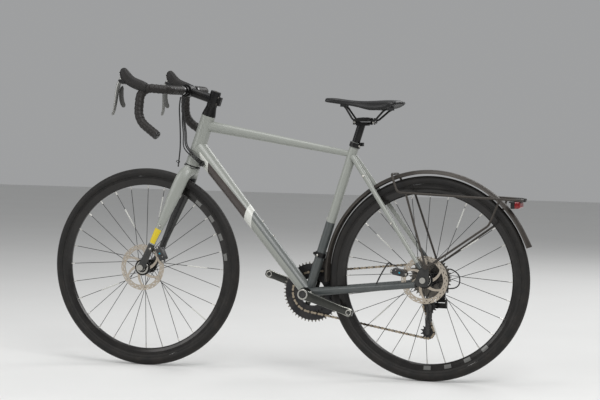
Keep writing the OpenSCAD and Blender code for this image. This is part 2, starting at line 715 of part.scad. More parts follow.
module rear_mech_cage() {
    d = unit(tension - guide);
    n = [-d[2], 0, d[0]];
    color("black") difference() {
        union() {
            for (y = [-46.4, -34.4]) {
                translate([0, y + 1.8, 0]) rotate([90, 0, 0]) linear_extrude(1.8) polygon([for (p =
                    [guide + n * 9, tension + n * 9, tension - n * 9, guide - n * 9]) [p[0], p[2]]]);
                axle_tube(guide[0], guide[2], y, y + 1.8, 9);
                axle_tube(tension[0], tension[2], y, y + 1.8, 9);
            }
            axle_tube(guide[0], guide[2], -72, -34.4, 4);
            axle_tube(tension[0], tension[2], -48, -32.6, 2.6);
            axle_tube(guide[0], guide[2], -57.8, -46.4, 8);
        }
    }
}
module jockey(c, i, r) {
    color("black") difference() {
        union() {
            cog(c, teeth_small, valley(i), chain_y, 2);
            axle_tube(c[0], c[2], chain_y - 4.8, chain_y + 3, 8);
        }
        axle_tube(c[0], c[2], -70, -30, r);
    }
}
module guide_pulley() { jockey(guide, 2, 4.05); }
module tension_pulley() { jockey(tension, 3, 2.65); }

// ---------- seat ----------
module seatpost() {
    color("black") difference() {
        union() {
            rod(post_end, post_top - seat_dir * 2, 13.6);
            translate(post_top + [-2, 0, -6]) rotate([0, 0, 0]) cube([40, 32, 12], center = true);
            translate(post_top + [-2, 0, 6]) cube([38, 62, 9], center = true);
            for (q = [-36, 32]) translate(post_top + [q * 0.9, 0, -2]) cylinder(h = 14, r = 4, center = true);
            translate(post_top + [-2, 0, -4]) cube([62, 12, 8], center = true);
        }
        rail_pipe(0.03);
    }
}
rail_z = post_top[2] + 6;
module rail_pipe(g = 0) {
    for (s = [-1, 1]) pipe([[-92, s * 12, 912], [-140, s * 22, rail_z], [-238, s * 22, rail_z],
        [-296, s * 40, 908]], 3.5 + g, [26, 26]);
}
module saddle_rails() { color("black") rail_pipe(); }
function plan(g) = [for (p = [[-49, 10], [-56, 17], [-90, 20], [-140, 24], [-180, 32], [-220, 48],
    [-255, 62], [-285, saddle_half], [-306, saddle_half - 6], [-314, saddle_half - 26],
    [-306, 8], [-300, 0]]) [p[0] + (p[0] > -150 ? -g : g), max(p[1] - g, 0)]];
module plan_shape(g) {
    linear_extrude(100) polygon(concat(plan(g), [for (i = [10 : -1 : 0]) let (p = plan(g)[i]) [p[0], -p[1]]]));
}
module saddle_base() {
    color("black") difference() {
        intersection() {
            translate([0, 0, 840]) plan_shape(5);
            translate([-330, -90, 900]) cube([300, 180, 8]);
        }
        rail_pipe(0.05);
    }
}
module saddle_pad() {
    color("black") difference() {
        intersection() {
            translate([0, 0, 860]) plan_shape(0);
            translate([-330, -90, 908.2]) cube([300, 180, saddle_top - 908.2]);
        }
        rail_pipe(0.05);
    }
}

head_tube();
top_tube();
down_tube();
seat_tube();
bottom_bracket();
chainstay_left();
chainstay_right();
seatstay_left();
seatstay_right();
bearing_cups();
seat_clamp();
front_mech_clamp();
rear_mudguard();
rack_rails();
rack_struts();
tail_light();
rear_caliper();
rear_axle();
rear_cables();
chain();
fork();
front_axle();
headset_spacers();
stem();
handlebar();
bar_tape();
hood_left();
hood_right();
front_caliper();
front_hose();
gear_cables();
lever_left();
lever_right();
paddle_left();
paddle_right();
front_tyre();
front_rim();
front_spokes();
front_hub();
front_disc();
rear_tyre();
rear_rim();
rear_spokes();
rear_hub();
rear_disc();
cassette();
crank_right();
crank_left();
chainrings();
seatpost();
saddle_rails();
saddle_base();
saddle_pad();
front_mech_cage();
rear_mech_base();
rear_mech_link();
rear_mech_knuckle();
rear_mech_cage();
guide_pulley();
tension_pulley();
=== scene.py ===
import math
import bmesh
import bpy
from mathutils import Matrix, Vector


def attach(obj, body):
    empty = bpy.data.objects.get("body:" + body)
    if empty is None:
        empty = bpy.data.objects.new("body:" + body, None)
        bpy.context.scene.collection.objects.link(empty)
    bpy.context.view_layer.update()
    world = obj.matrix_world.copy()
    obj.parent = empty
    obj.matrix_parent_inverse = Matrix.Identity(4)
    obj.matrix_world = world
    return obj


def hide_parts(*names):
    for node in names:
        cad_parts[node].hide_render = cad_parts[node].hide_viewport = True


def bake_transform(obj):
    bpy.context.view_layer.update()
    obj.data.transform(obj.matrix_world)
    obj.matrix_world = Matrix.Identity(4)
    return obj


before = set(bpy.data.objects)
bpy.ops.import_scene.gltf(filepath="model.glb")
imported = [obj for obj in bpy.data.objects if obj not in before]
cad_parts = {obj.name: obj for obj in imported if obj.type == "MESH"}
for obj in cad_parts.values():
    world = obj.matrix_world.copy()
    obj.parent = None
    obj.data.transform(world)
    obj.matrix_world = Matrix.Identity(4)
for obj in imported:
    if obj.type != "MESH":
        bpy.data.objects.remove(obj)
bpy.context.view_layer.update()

# ---- Viewpoint, floor and light ----
# A long lens stands level with the saddle on the rider's left, a little behind the bicycle.
# The floor and the lamps are plain; the floor is pale and catches the shadow.
scene = bpy.context.scene
scene.view_settings.view_transform = "Standard"
camera_data = bpy.data.cameras.new("view_camera")
camera_data.lens = 120.3
camera_data.sensor_width = 36.0
camera = bpy.data.objects.new("view_camera", camera_data)
scene.collection.objects.link(camera)
look = Vector((0.31078, -0.94941, -0.04506))
camera_up = Vector((0.03014, -0.03754, 0.99884))
camera_right = look.cross(camera_up).normalized()
camera_up = camera_right.cross(look)
camera.matrix_world = Matrix.Translation((-2.0862, 6.4837, 0.9014)) @ Matrix(
    (camera_right, camera_up, -look)).transposed().to_4x4()
scene.camera = camera


def linear(r, g, b):
    return tuple((c / 255 / 12.92) if c / 255 <= 0.04045 else ((c / 255 + 0.055) / 1.055) ** 2.4
                 for c in (r, g, b)) + (1.0,)


def add_node(tree, kind, where=None, **values):
    made = tree.nodes.new(kind)
    for key, value in values.items():
        setattr(made, key, value)
    for socket, value in (where or {}).items():
        target = made.inputs[socket]
        if isinstance(value, bpy.types.NodeSocket):
            tree.links.new(value, target)
        else:
            target.default_value = value
    return made


floor_mesh = bmesh.new()
bmesh.ops.create_grid(floor_mesh, x_segments=1, y_segments=1, size=14)
floor_data = bpy.data.meshes.new("floor")
floor_mesh.to_mesh(floor_data)
floor_mesh.free()
floor = bpy.data.objects.new("floor", floor_data)
scene.collection.objects.link(floor)
floor_material = bpy.data.materials.new("pale_floor")
floor_material.use_nodes = True
tree = floor_material.node_tree
shader = tree.nodes["Principled BSDF"]
shader.inputs["Roughness"].default_value = 0.85
speckle = add_node(tree, "ShaderNodeTexNoise", {"Scale": 60.0, "Detail": 4.0})
floor_tone = add_node(tree, "ShaderNodeMix", {0: speckle.outputs["Fac"], 6: (0.70, 0.70, 0.69, 1),
                                              7: (0.74, 0.74, 0.73, 1)}, data_type="RGBA")
tree.links.new(floor_tone.outputs[2], shader.inputs["Base Color"])
floor.data.materials.append(floor_material)

world = bpy.data.worlds.new("soft_studio")
scene.world = world
world.use_nodes = True
tree = world.node_tree
backdrop = tree.nodes["Background"]
backdrop.inputs["Color"].default_value = (0.86, 0.87, 0.88, 1)
backdrop.inputs["Strength"].default_value = 0.40
for name, place, size, power in (("key", (-2.6, 3.6, 4.4), 3.2, 190), ("fill", (3.8, 3.2, 2.6), 3.0, 75),
                                 ("back", (-1.5, -4.2, 3.6), 3.0, 90), ("top", (0.3, 0.2, 4.8), 2.6, 70)):
    lamp_data = bpy.data.lights.new(name, "AREA")
    lamp_data.size = size
    lamp_data.energy = power
    lamp = bpy.data.objects.new(name, lamp_data)
    scene.collection.objects.link(lamp)
    lamp.matrix_world = Matrix.Translation(place) @ (
        Vector((0.1, 0, 0.5)) - Vector(place)).to_track_quat("-Z", "Y").to_matrix().to_4x4()

# ---- Frame ----
# Butted alloy tubes, welded and sprayed in a pale warm grey with satin lacquer. Lower tubes and
# the stays' ends are sprayed dark; the down tube has a dark side panel between two white flashes.
BB = Vector((0, 0, 0.278))
REAR = Vector((-0.421, 0, 0.344))
FRONT = Vector((0.595, 0, 0.344))
HEAD_LOW = Vector((0.4286, 0, 0.704))
HEAD_DIR = Vector((-0.3079, 0, 0.9514)).normalized()
SEAT_DIR = Vector((-0.294, 0, 0.9558)).normalized()


def group_tree(name, inputs, outputs):
    group = bpy.data.node_groups.new(name, "ShaderNodeTree")
    for label, kind, value in inputs:
        made = group.interface.new_socket(label, in_out="INPUT", socket_type=kind)
        made.default_value = value
    for label, kind in outputs:
        group.interface.new_socket(label, in_out="OUTPUT", socket_type=kind)
    return group, group.nodes.new("NodeGroupInput"), group.nodes.new("NodeGroupOutput")


# fine uneven surface: roughness that wanders and a shallow bump
fine_grain, g_in, g_out = group_tree(
    "fine_grain",
    (("Scale", "NodeSocketFloat", 300.0), ("Base Roughness", "NodeSocketFloat", 0.4),
     ("Spread", "NodeSocketFloat", 0.1), ("Bump", "NodeSocketFloat", 0.1)),
    (("Roughness", "NodeSocketFloat"), ("Normal", "NodeSocketVector"), ("Mask", "NodeSocketFloat")))
place = add_node(fine_grain, "ShaderNodeTexCoord").outputs["Object"]
fine = add_node(fine_grain, "ShaderNodeTexNoise", {"Vector": place, "Scale": g_in.outputs["Scale"],
                                                    "Detail": 3.0})
broad = add_node(fine_grain, "ShaderNodeTexNoise", {"Vector": place, "Scale": 9.0, "Detail": 4.0})
centred = add_node(fine_grain, "ShaderNodeMath", {0: broad.outputs["Fac"], 1: 0.5},
                   operation="SUBTRACT")
rough = add_node(fine_grain, "ShaderNodeMath", {0: centred.outputs[0], 1: g_in.outputs["Spread"],
                 2: g_in.outputs["Base Roughness"]}, operation="MULTIPLY_ADD")
bump = add_node(fine_grain, "ShaderNodeBump", {"Strength": g_in.outputs["Bump"], "Distance": 0.0004,
                                                "Height": fine.outputs["Fac"]})
fine_grain.links.new(rough.outputs[0], g_out.inputs["Roughness"])
fine_grain.links.new(bump.outputs["Normal"], g_out.inputs["Normal"])
fine_grain.links.new(broad.outputs["Fac"], g_out.inputs["Mask"])

# road dust: in noisy patches, more of it low on the bicycle
road_dust, g_in, g_out = group_tree(
    "road_dust",
    (("Color", "NodeSocketColor", (1, 1, 1, 1)), ("Dust Color", "NodeSocketColor", (0.3, 0.27, 0.23, 1)),
     ("Amount", "NodeSocketFloat", 0.2)), (("Color", "NodeSocketColor"),))
place = add_node(road_dust, "ShaderNodeTexCoord").outputs["Object"]
patches = add_node(road_dust, "ShaderNodeTexNoise", {"Vector": place, "Scale": 34.0, "Detail": 6.0,
                                                      "Roughness": 0.65})
height = add_node(road_dust, "ShaderNodeSeparateXYZ", {0: place})
low = add_node(road_dust, "ShaderNodeMapRange", {"Value": height.outputs["Z"], "From Min": 0.75,
                                                  "From Max": 0.1, "To Min": 0.35, "To Max": 1.0})
spots = add_node(road_dust, "ShaderNodeMapRange", {"Value": patches.outputs["Fac"], "From Min": 0.42,
                                                    "From Max": 0.72})
both = add_node(road_dust, "ShaderNodeMath", {0: spots.outputs[0], 1: low.outputs[0]},
                operation="MULTIPLY")
amount = add_node(road_dust, "ShaderNodeMath", {0: both.outputs[0], 1: g_in.outputs["Amount"]},
                  operation="MULTIPLY")
dusty = add_node(road_dust, "ShaderNodeMix", {0: amount.outputs[0], 6: g_in.outputs["Color"],
                                              7: g_in.outputs["Dust Color"]}, data_type="RGBA")
road_dust.links.new(dusty.outputs[2], g_out.inputs["Color"])


def start_material(name, grain=300.0, roughness=0.4, spread=0.1, bump=0.1, metallic=0.0,
                   coat=0.0, coat_rough=0.1, specular=0.5):
    """A material with its Principled shader and its grain group wired in."""
    made = bpy.data.materials.new(name)
    made.use_nodes = True
    net = made.node_tree
    bsdf = net.nodes["Principled BSDF"]
    bsdf.inputs["Metallic"].default_value = metallic
    bsdf.inputs["Specular IOR Level"].default_value = specular
    bsdf.inputs["Coat Weight"].default_value = coat
    bsdf.inputs["Coat Roughness"].default_value = coat_rough
    grain_node = add_node(net, "ShaderNodeGroup", node_tree=fine_grain)
    for label, value in (("Scale", grain), ("Base Roughness", roughness), ("Spread", spread),
                         ("Bump", bump)):
        grain_node.inputs[label].default_value = value
    net.links.new(grain_node.outputs["Roughness"], bsdf.inputs["Roughness"])
    net.links.new(grain_node.outputs["Normal"], bsdf.inputs["Normal"])
    return made, net, bsdf, grain_node


def set_colour(net, bsdf, colour, dust=0.15, dust_colour=(0.26, 0.235, 0.2, 1)):
    """Colour through the road dust group into Base Color; colour is a tuple or a socket."""
    layer = add_node(net, "ShaderNodeGroup", node_tree=road_dust)
    layer.inputs["Amount"].default_value = dust
    layer.inputs["Dust Color"].default_value = dust_colour
    if isinstance(colour, bpy.types.NodeSocket):
        net.links.new(colour, layer.inputs["Color"])
    else:
        layer.inputs["Color"].default_value = colour
    net.links.new(layer.outputs["Color"], bsdf.inputs["Base Color"])


def plain_material(name, colour, dust=0.15, tone=0.12, **finish):
    """One colour whose tone wanders a little over the surface."""
    made, net, bsdf, grain_node = start_material(name, **finish)
    darker = tuple(c * (1 - tone) for c in colour[:3]) + (1,)
    mixed = add_node(net, "ShaderNodeMix", {0: grain_node.outputs["Mask"], 6: darker, 7: colour},
                     data_type="RGBA")
    set_colour(net, bsdf, mixed.outputs[2], dust)
    return made


def finish_nodes(names, material):
    for n in names:
        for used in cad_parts[n].material_slots:
            used.material = material


def along(net, direction, origin):
    """Distance along a direction from an origin, in metres, over the surface."""
    where = add_node(net, "ShaderNodeTexCoord").outputs["Object"]
    moved = add_node(net, "ShaderNodeVectorMath", {0: where, 1: tuple(origin)}, operation="SUBTRACT")
    return add_node(net, "ShaderNodeVectorMath", {0: moved.outputs[0], 1: tuple(direction)},
                    operation="DOT_PRODUCT").outputs["Value"]


def above(net, value, level):
    """1 where value is over level, with a crisp painted edge."""
    edge = add_node(net, "ShaderNodeMapRange", {"Value": value, "From Min": level - 0.0004,
                                                "From Max": level + 0.0004})
    return edge.outputs[0]


def maths(net, kind, a, b):
    return add_node(net, "ShaderNodeMath", {0: a, 1: b}, operation=kind).outputs[0]


def layered(net, under, over, mask):
    return add_node(net, "ShaderNodeMix", {0: mask, 6: under, 7: over}, data_type="RGBA").outputs[2]


LIGHT = linear(142, 145, 139)
DARK = linear(62, 67, 67)
PANEL = linear(60, 53, 50)
WHITE = linear(205, 206, 200)
MID = linear(98, 102, 100)
paint_finish = dict(grain=900.0, roughness=0.38, spread=0.1, bump=0.02, coat=0.3, coat_rough=0.25)
light_paint = plain_material("light_paint", LIGHT, dust=0.08, tone=0.05, **paint_finish)
dark_paint = plain_material("dark_paint", DARK, dust=0.2, tone=0.08, **paint_finish)
finish_nodes(("head_tube", "top_tube"), light_paint)
finish_nodes(("bottom_bracket",), dark_paint)


def two_tone(name, direction, level):
    """Dark below a level along a direction, pale above it."""
    made, net, bsdf, grain_node = start_material(name, **paint_finish)
    mask = above(net, along(net, direction, BB), level)
    set_colour(net, bsdf, layered(net, DARK, LIGHT, mask), 0.12)
    return made


finish_nodes(("seat_tube",), two_tone("seat_tube_paint", SEAT_DIR, 0.255))
stay_end_paint, net, bsdf, grain_node = start_material("stay_end_paint", **paint_finish)
behind = above(net, along(net, (-1, 0, 0), BB), 0.392)
set_colour(net, bsdf, layered(net, DARK, linear(26, 27, 27), behind), 0.12)
finish_nodes(("chainstay_left", "chainstay_right"), stay_end_paint)
finish_nodes(("seatstay_left",), two_tone("stay_left_paint", (0.62, 0, 0.785), -0.150))
finish_nodes(("seatstay_right",), two_tone("stay_right_paint", (0.62, 0, 0.785), -0.105))

down_paint, net, bsdf, grain_node = start_material("down_tube_paint", **paint_finish)
DOWN_DIR = (0.6428, 0, 0.766)
DOWN_UP = (-0.766, 0, 0.6428)
run = along(net, DOWN_DIR, BB)
lift = along(net, DOWN_UP, BB)


def slanted(level, slope):
    return above(net, maths(net, "SUBTRACT", run, maths(net, "MULTIPLY", lift, slope)), level)


flash_end, flash_start = slanted(0.3145, 0.98), slanted(0.3495, 0.6)
panel_end, top_flash_end = slanted(0.563, 0.9), slanted(0.612, 1.4)
upper_face = above(net, lift, 0.004)
panel_top = above(net, maths(net, "SUBTRACT", lift, maths(net, "MULTIPLY", run, -0.03)), 0.021)
colour = layered(net, LIGHT, MID, upper_face)
colour = layered(net, colour, WHITE, flash_end)
colour = layered(net, colour, LIGHT, flash_start)
pin_line = maths(net, "MULTIPLY", above(net, lift, 0.0105), maths(net, "SUBTRACT", 1.0,
                 above(net, lift, 0.0122)))
colour = layered(net, colour, MID, maths(net, "MULTIPLY", pin_line, maths(
    net, "MULTIPLY", flash_start, maths(net, "SUBTRACT", 1.0, above(net, run, 0.47)))))
below = maths(net, "SUBTRACT", 1.0, panel_top)
colour = layered(net, colour, PANEL, maths(net, "MULTIPLY", flash_start, below))
colour = layered(net, colour, WHITE, maths(net, "MULTIPLY", panel_end, below))
colour = layered(net, colour, LIGHT, top_flash_end)
set_colour(net, bsdf, colour, 0.1)
finish_nodes(("down_tube",), down_paint)

# ---- Black anodised and silver fittings ----
# Cups, collars, stem, post, hubs and mechs are turned or forged alloy, anodised black; axles are
# bare. The grain is a fine bead-blasted skin.
black_alloy = plain_material("black_alloy", linear(22, 22, 23), dust=0.12, tone=0.25, grain=1400.0,
                             roughness=0.36, spread=0.14, bump=0.12, metallic=0.55, specular=0.5)
gloss_black = plain_material("gloss_black", linear(17, 17, 18), dust=0.1, tone=0.2, grain=700.0,
                             roughness=0.2, spread=0.1, bump=0.04, coat=0.4)
silver_alloy = plain_material("silver_alloy", linear(196, 194, 188), dust=0.15, tone=0.12, grain=900.0,
                              roughness=0.3, spread=0.2, bump=0.1, metallic=1.0)
dark_steel = plain_material("dark_steel", linear(98, 95, 90), dust=0.3, tone=0.3, grain=900.0,
                            roughness=0.36, spread=0.2, bump=0.2, metallic=0.9)
moulded_black = plain_material("moulded_black", linear(15, 15, 16), dust=0.05, tone=0.15, grain=2200.0,
                               roughness=0.52, spread=0.12, bump=0.3)
cable_jacket = plain_material("cable_jacket", linear(16, 16, 17), dust=0.1, tone=0.2, grain=800.0,
                              roughness=0.4, spread=0.1, bump=0.05)
finish_nodes(("bearing_cups", "seat_clamp", "front_mech_clamp", "headset_spacers", "stem", "handlebar",
              "rear_mech_base", "rear_mech_link", "rear_mech_knuckle", "front_hub", "rear_hub",
              "seatpost"), black_alloy)
finish_nodes(("rear_mech_cage",), gloss_black)
finish_nodes(("rear_axle", "front_axle"), silver_alloy)
finish_nodes(("front_mech_cage",), dark_steel)
finish_nodes(("guide_pulley", "tension_pulley", "saddle_base"), moulded_black)
finish_nodes(("rear_cables", "front_hose", "gear_cables"), cable_jacket)

# ---- Frame bolts ----
# Small stainless button-head bolts close the bottle, rack and guard threads. Each is a domed disc
# with a hexagon recess.


def add_piece(name, mesh, material, body, smooth=35.0):
    """Turns a bmesh into a piece that rides on a body; edges over the angle stay crisp."""
    bmesh.ops.remove_doubles(mesh, verts=mesh.verts, dist=1e-6)
    bmesh.ops.recalc_face_normals(mesh, faces=mesh.faces)
    data = bpy.data.meshes.new(name)
    for face in mesh.faces:
        face.smooth = True
    for edge in mesh.edges:
        if len(edge.link_faces) == 2 and edge.calc_face_angle(0) > math.radians(smooth):
            edge.smooth = False
    mesh.to_mesh(data)
    mesh.free()
    piece = bpy.data.objects.new(name, data)
    scene.collection.objects.link(piece)
    data.materials.append(material)
    if body:
        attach(piece, body)
    return piece


def facing(point, direction, up=(0, 0, 1)):
    """A matrix that carries local +Z to the direction, at a point."""
    z = Vector(direction).normalized()
    x = Vector(up).cross(z)
    if x.length < 1e-4:
        x = Vector((1, 0, 0)).cross(z)
    x.normalize()
    return Matrix.Translation(Vector(point)) @ Matrix((x, z.cross(x), z)).transposed().to_4x4()


def button_bolt(mesh, point, direction, radius=0.0045, height=0.0025):
    """Adds one button-head bolt with a hexagon recess to a mesh."""
    at = facing(point, direction)
    part = bmesh.new()
    profile = [(0, height * 0.35), (radius * 0.45, height * 0.35), (radius * 0.45, height),
               (radius * 0.62, height), (radius * 0.88, height * 0.72), (radius, height * 0.25),
               (radius, -0.001), (0, -0.001)]
    points = [part.verts.new((r, 0, h)) for r, h in profile]
    edges = [part.edges.new((points[i], points[i + 1])) for i in range(len(points) - 1)]
    bmesh.ops.spin(part, geom=points + edges, cent=(0, 0, 0), axis=(0, 0, 1), angle=math.tau,
                   steps=18, use_merge=True)
    bmesh.ops.remove_doubles(part, verts=part.verts, dist=1e-6)
    part.transform(at)
    data = bpy.data.meshes.new("bolt_part")
    part.to_mesh(data)
    part.free()
    mesh.from_mesh(data)
    bpy.data.meshes.remove(data)


def down_radius(distance):
    return 0.022 + 0.003 * distance / 0.4 if distance < 0.4 else 0.025 + 0.005 * (distance - 0.4) / 0.236


down_dir, down_up = Vector(DOWN_DIR), Vector(DOWN_UP)
bolts = bmesh.new()
for distance in (0.291, 0.227):
    button_bolt(bolts, BB + down_dir * distance + down_up * (down_radius(distance) - 0.0005), down_up, 0.005)
for distance in (0.20, 0.264):
    button_bolt(bolts, BB + SEAT_DIR * distance + Vector((0.9558, 0, 0.294)) * 0.0155,
                (0.9558, 0, 0.294), 0.005)
for s in (-1, 1):
    button_bolt(bolts, (-0.1960, s * 0.0345, 0.682), (0.25, s, 0.15), 0.0048)
    button_bolt(bolts, (-0.3025, s * 0.0593, 0.528), (0.25, s, 0.15), 0.0042)
add_piece("frame_bolts", bolts, silver_alloy, "frame")

# ---- Cable port ----
# A moulded rubber grommet plugs the hole on the down tube's left side; the gear cables go in
# through it.
PORT = Vector((0.384, 0.026, 0.708))
PORT_DIR = Vector((-0.62, -0.42, -0.66)).normalized()
port = bmesh.new()
rim_profile = [(0.0068, -0.004), (0.0068, 0.001), (0.0078, 0.0024), (0.0098, 0.0028), (0.0113, 0.0016),
               (0.0116, -0.002), (0.0098, -0.005)]
points = [port.verts.new((r, 0, h)) for r, h in rim_profile]
edges = [port.edges.new((points[i], points[(i + 1) % len(points)])) for i in range(len(points))]
bmesh.ops.spin(port, geom=points + edges, cent=(0, 0, 0), axis=(0, 0, 1), angle=math.tau, steps=28,
               use_merge=True)
port.transform(facing(PORT - PORT_DIR * 0.0035, -PORT_DIR) @ Matrix.Diagonal((1.25, 1.0, 1.0, 1)))
add_piece("cable_port", port, moulded_black, "frame")

# ---- Gear cables ----
# Three jacketed gear cables leave the bar tape, hang in a bundle before the head tube and go into
# the port.


def smooth_route(points, steps=6):
    """Points on a smooth curve through the given ones."""
    out = []
    last = len(points) - 1
    for i in range(last):
        a, b, c, d = (Vector(points[k]) for k in (max(i - 1, 0), i, i + 1, min(i + 2, last)))
        for j in range(steps):
            t = j / steps
            out.append(0.5 * (2 * b + (c - a) * t + (2 * a - 5 * b + 4 * c - d) * t * t
                              + (3 * b - a - 3 * c + d) * t ** 3))
    return out + [Vector(points[last])]


def new_ring(mesh, sides, radius=1.0):
    """A new circle's corners in order round the circle, on the XY plane."""
    made = bmesh.ops.create_circle(mesh, segments=sides, radius=radius)["verts"]
    return sorted(made, key=lambda v: math.atan2(v.co.y, v.co.x) % math.tau)


def ring_edges(mesh, ring):
    return [mesh.edges.get((ring[k], ring[(k + 1) % len(ring)])) for k in range(len(ring))]


def tube_along(mesh, route, radius, sides=10, ends=True):
    """Adds a round tube along a route; radius is a number or a list with one for each point."""
    rings = []
    tangents = [(route[min(i + 1, len(route) - 1)] - route[max(i - 1, 0)]).normalized()
                for i in range(len(route))]
    across = tangents[0].orthogonal().normalized()
    for i, point in enumerate(route):
        across = (across - tangents[i] * across.dot(tangents[i])).normalized()
        side = tangents[i].cross(across)
        r = radius[i] if isinstance(radius, (list, tuple)) else radius
        place = Matrix.Translation(point) @ Matrix((across, side, tangents[i])).transposed().to_4x4()
        ring = new_ring(mesh, sides, r)
        bmesh.ops.transform(mesh, verts=ring, matrix=place)
        rings.append(ring_edges(mesh, ring))
    for first, second in zip(rings, rings[1:]):
        bmesh.ops.bridge_loops(mesh, edges=first + second)
    if ends:
        for ring in (rings[0], rings[-1]):
            bmesh.ops.holes_fill(mesh, edges=ring)
    return rings


def mm(*point):
    return tuple(v / 1000 for v in point)


PORT_SIDE = Vector((0.73, 0, -0.69))
cable_starts = (
    (-1, (mm(464, 6, 937), mm(466, 4, 905), mm(460, 4, 860), mm(452, 8, 815), mm(442, 20, 770))),
    (0, (mm(464, -6, 937), mm(470, -4, 905), mm(467, -3, 860), mm(460, 1, 815), mm(449, 15, 768))),
    (1, (mm(464, -18, 938), mm(472, -12, 905), mm(474, -9, 860), mm(468, -5, 812), mm(457, 12, 762))))
cables = bmesh.new()
for k, start in cable_starts:
    end = [PORT + PORT_SIDE * 0.0049 * k + Vector((-0.62, -0.42, -0.66)) * q for q in (-0.034, -0.016, 0.007)]
    tube_along(cables, smooth_route(list(start) + end, 7), 0.0022, 12)
gear_run = add_piece("gear_cable_run", cables, cable_jacket, None)
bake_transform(gear_run)
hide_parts("gear_cables")

# ---- Fork ----
# A one-piece fork: a round steerer, a wide crown and two blades, deep at the crown and slim at the
# ends, sprayed to match the frame with black forged ends.


def loft(mesh, sections, sides=24, power=2.0, caps=True):
    """Bridges oval sections: each is (centre, half-width vector, half-depth vector)."""
    rings = []
    for centre, wide, deep in sections:
        centre, wide, deep = Vector(centre), Vector(wide), Vector(deep)
        ring = new_ring(mesh, sides)
        for v in ring:
            c, s = v.co.x, v.co.y
            c = math.copysign(abs(c) ** (2 / power), c)
            s = math.copysign(abs(s) ** (2 / power), s)
            v.co = centre + wide * c + deep * s
        rings.append(ring_edges(mesh, ring))
    for first, second in zip(rings, rings[1:]):
        bmesh.ops.bridge_loops(mesh, edges=first + second)
    if caps:
        for ring in (rings[0], rings[-1]):
            bmesh.ops.holes_fill(mesh, edges=ring)
    return rings


def oval_path(points, widths, depths, side=(0, 1, 0)):
    """Sections square to a route, with half-widths along side and half-depths across it."""
    out = []
    route = [Vector(p) for p in points]
    for i, point in enumerate(route):
        t = (route[min(i + 1, len(route) - 1)] - route[max(i - 1, 0)]).normalized()
        wide = (Vector(side) - t * Vector(side).dot(t)).normalized()
        out.append((point, wide * widths[i], t.cross(wide) * depths[i]))
    return out


fork_paint, net, bsdf, grain_node = start_material("fork_paint", **paint_finish)
parts = add_node(net, "ShaderNodeSeparateXYZ", {0: add_node(net, "ShaderNodeTexCoord").outputs["Object"]})
off_axis = add_node(net, "ShaderNodeMath", {0: parts.outputs["Y"]}, operation="ABSOLUTE").outputs[0]
blade_line = add_node(net, "ShaderNodeMapRange", {"Value": parts.outputs["Z"], "From Min": 0.424, "From Max": 0.657,
                                                  "To Min": 0.0545, "To Max": 0.0385}).outputs[0]
inner_face = maths(net, "MULTIPLY", above(net, maths(net, "SUBTRACT", blade_line, off_axis), 0.0),
                   maths(net, "SUBTRACT", 1.0, above(net, parts.outputs["Z"], 0.655)))
set_colour(net, bsdf, layered(net, LIGHT, linear(24, 25, 25), inner_face), 0.08)
fork_dark = plain_material("fork_dark", linear(40, 41, 41), dust=0.18, tone=0.15, grain=900.0,
                           roughness=0.42, spread=0.12, bump=0.1)
crown = bmesh.new()
axis = HEAD_DIR
sections = [(HEAD_LOW + axis * d, Vector((0, 1, 0)) * w, Vector((0.9514, 0, 0.3079)) * q)
            for d, w, q in ((-0.0043, 0.0255, 0.0255), (-0.008, 0.0268, 0.0268), (-0.018, 0.0275, 0.0268),
                            (-0.027, 0.0245, 0.0240))]
loft(crown, sections, 40)
tube_along(crown, [HEAD_LOW - axis * 0.02, HEAD_LOW + axis * 0.26], 0.0142, 28)
for s in (-1, 1):
    route = [mm(433, s * 6, 687), mm(438, s * 22, 683), mm(444, s * 34, 674), mm(452, s * 41.5, 657),
             mm(463, s * 44.5, 632), mm(484, s * 47.5, 585), mm(512, s * 51, 521), mm(540, s * 54.5, 459),
             mm(556, s * 56.5, 424)]
    loft(crown, oval_path(route, [0.020, 0.019, 0.0165, 0.0132, 0.0118, 0.0108, 0.0098, 0.0090, 0.0086],
                          [0.0215, 0.0215, 0.0220, 0.0230, 0.0232, 0.0215, 0.0165, 0.0125, 0.0112]), 28, 2.3)
fork_piece = add_piece("fork_blades", crown, fork_paint, "steering", 50)
fork_ends = bmesh.new()
for s in (-1, 1):
    route = [mm(554.5, s * 56.4, 427), mm(560, s * 57, 415), mm(570, s * 58, 393), mm(581, s * 57.5, 370),
             mm(590, s * 55.3, 352), mm(596, s * 54.8, 341), mm(600, s * 54.8, 332.5)]
    loft(fork_ends, oval_path(route, [0.0087, 0.0083, 0.0076, 0.0062, 0.0046, 0.0045, 0.0036],
                              [0.0114, 0.0116, 0.0118, 0.0128, 0.0140, 0.0125, 0.006]), 24, 2.6)
ends_piece = add_piece("fork_ends", fork_ends, fork_dark, "steering", 50)
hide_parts("fork")
fork_bolts = bmesh.new()
for s in (-1, 1):
    button_bolt(fork_bolts, mm(528 - 4, s * 64.6, 491), (0.1, s, 0), 0.0048)
    button_bolt(fork_bolts, mm(558, s * 65.6, 411), (0, s, 0.05), 0.0042)
add_piece("fork_bolts", fork_bolts, silver_alloy, "steering")

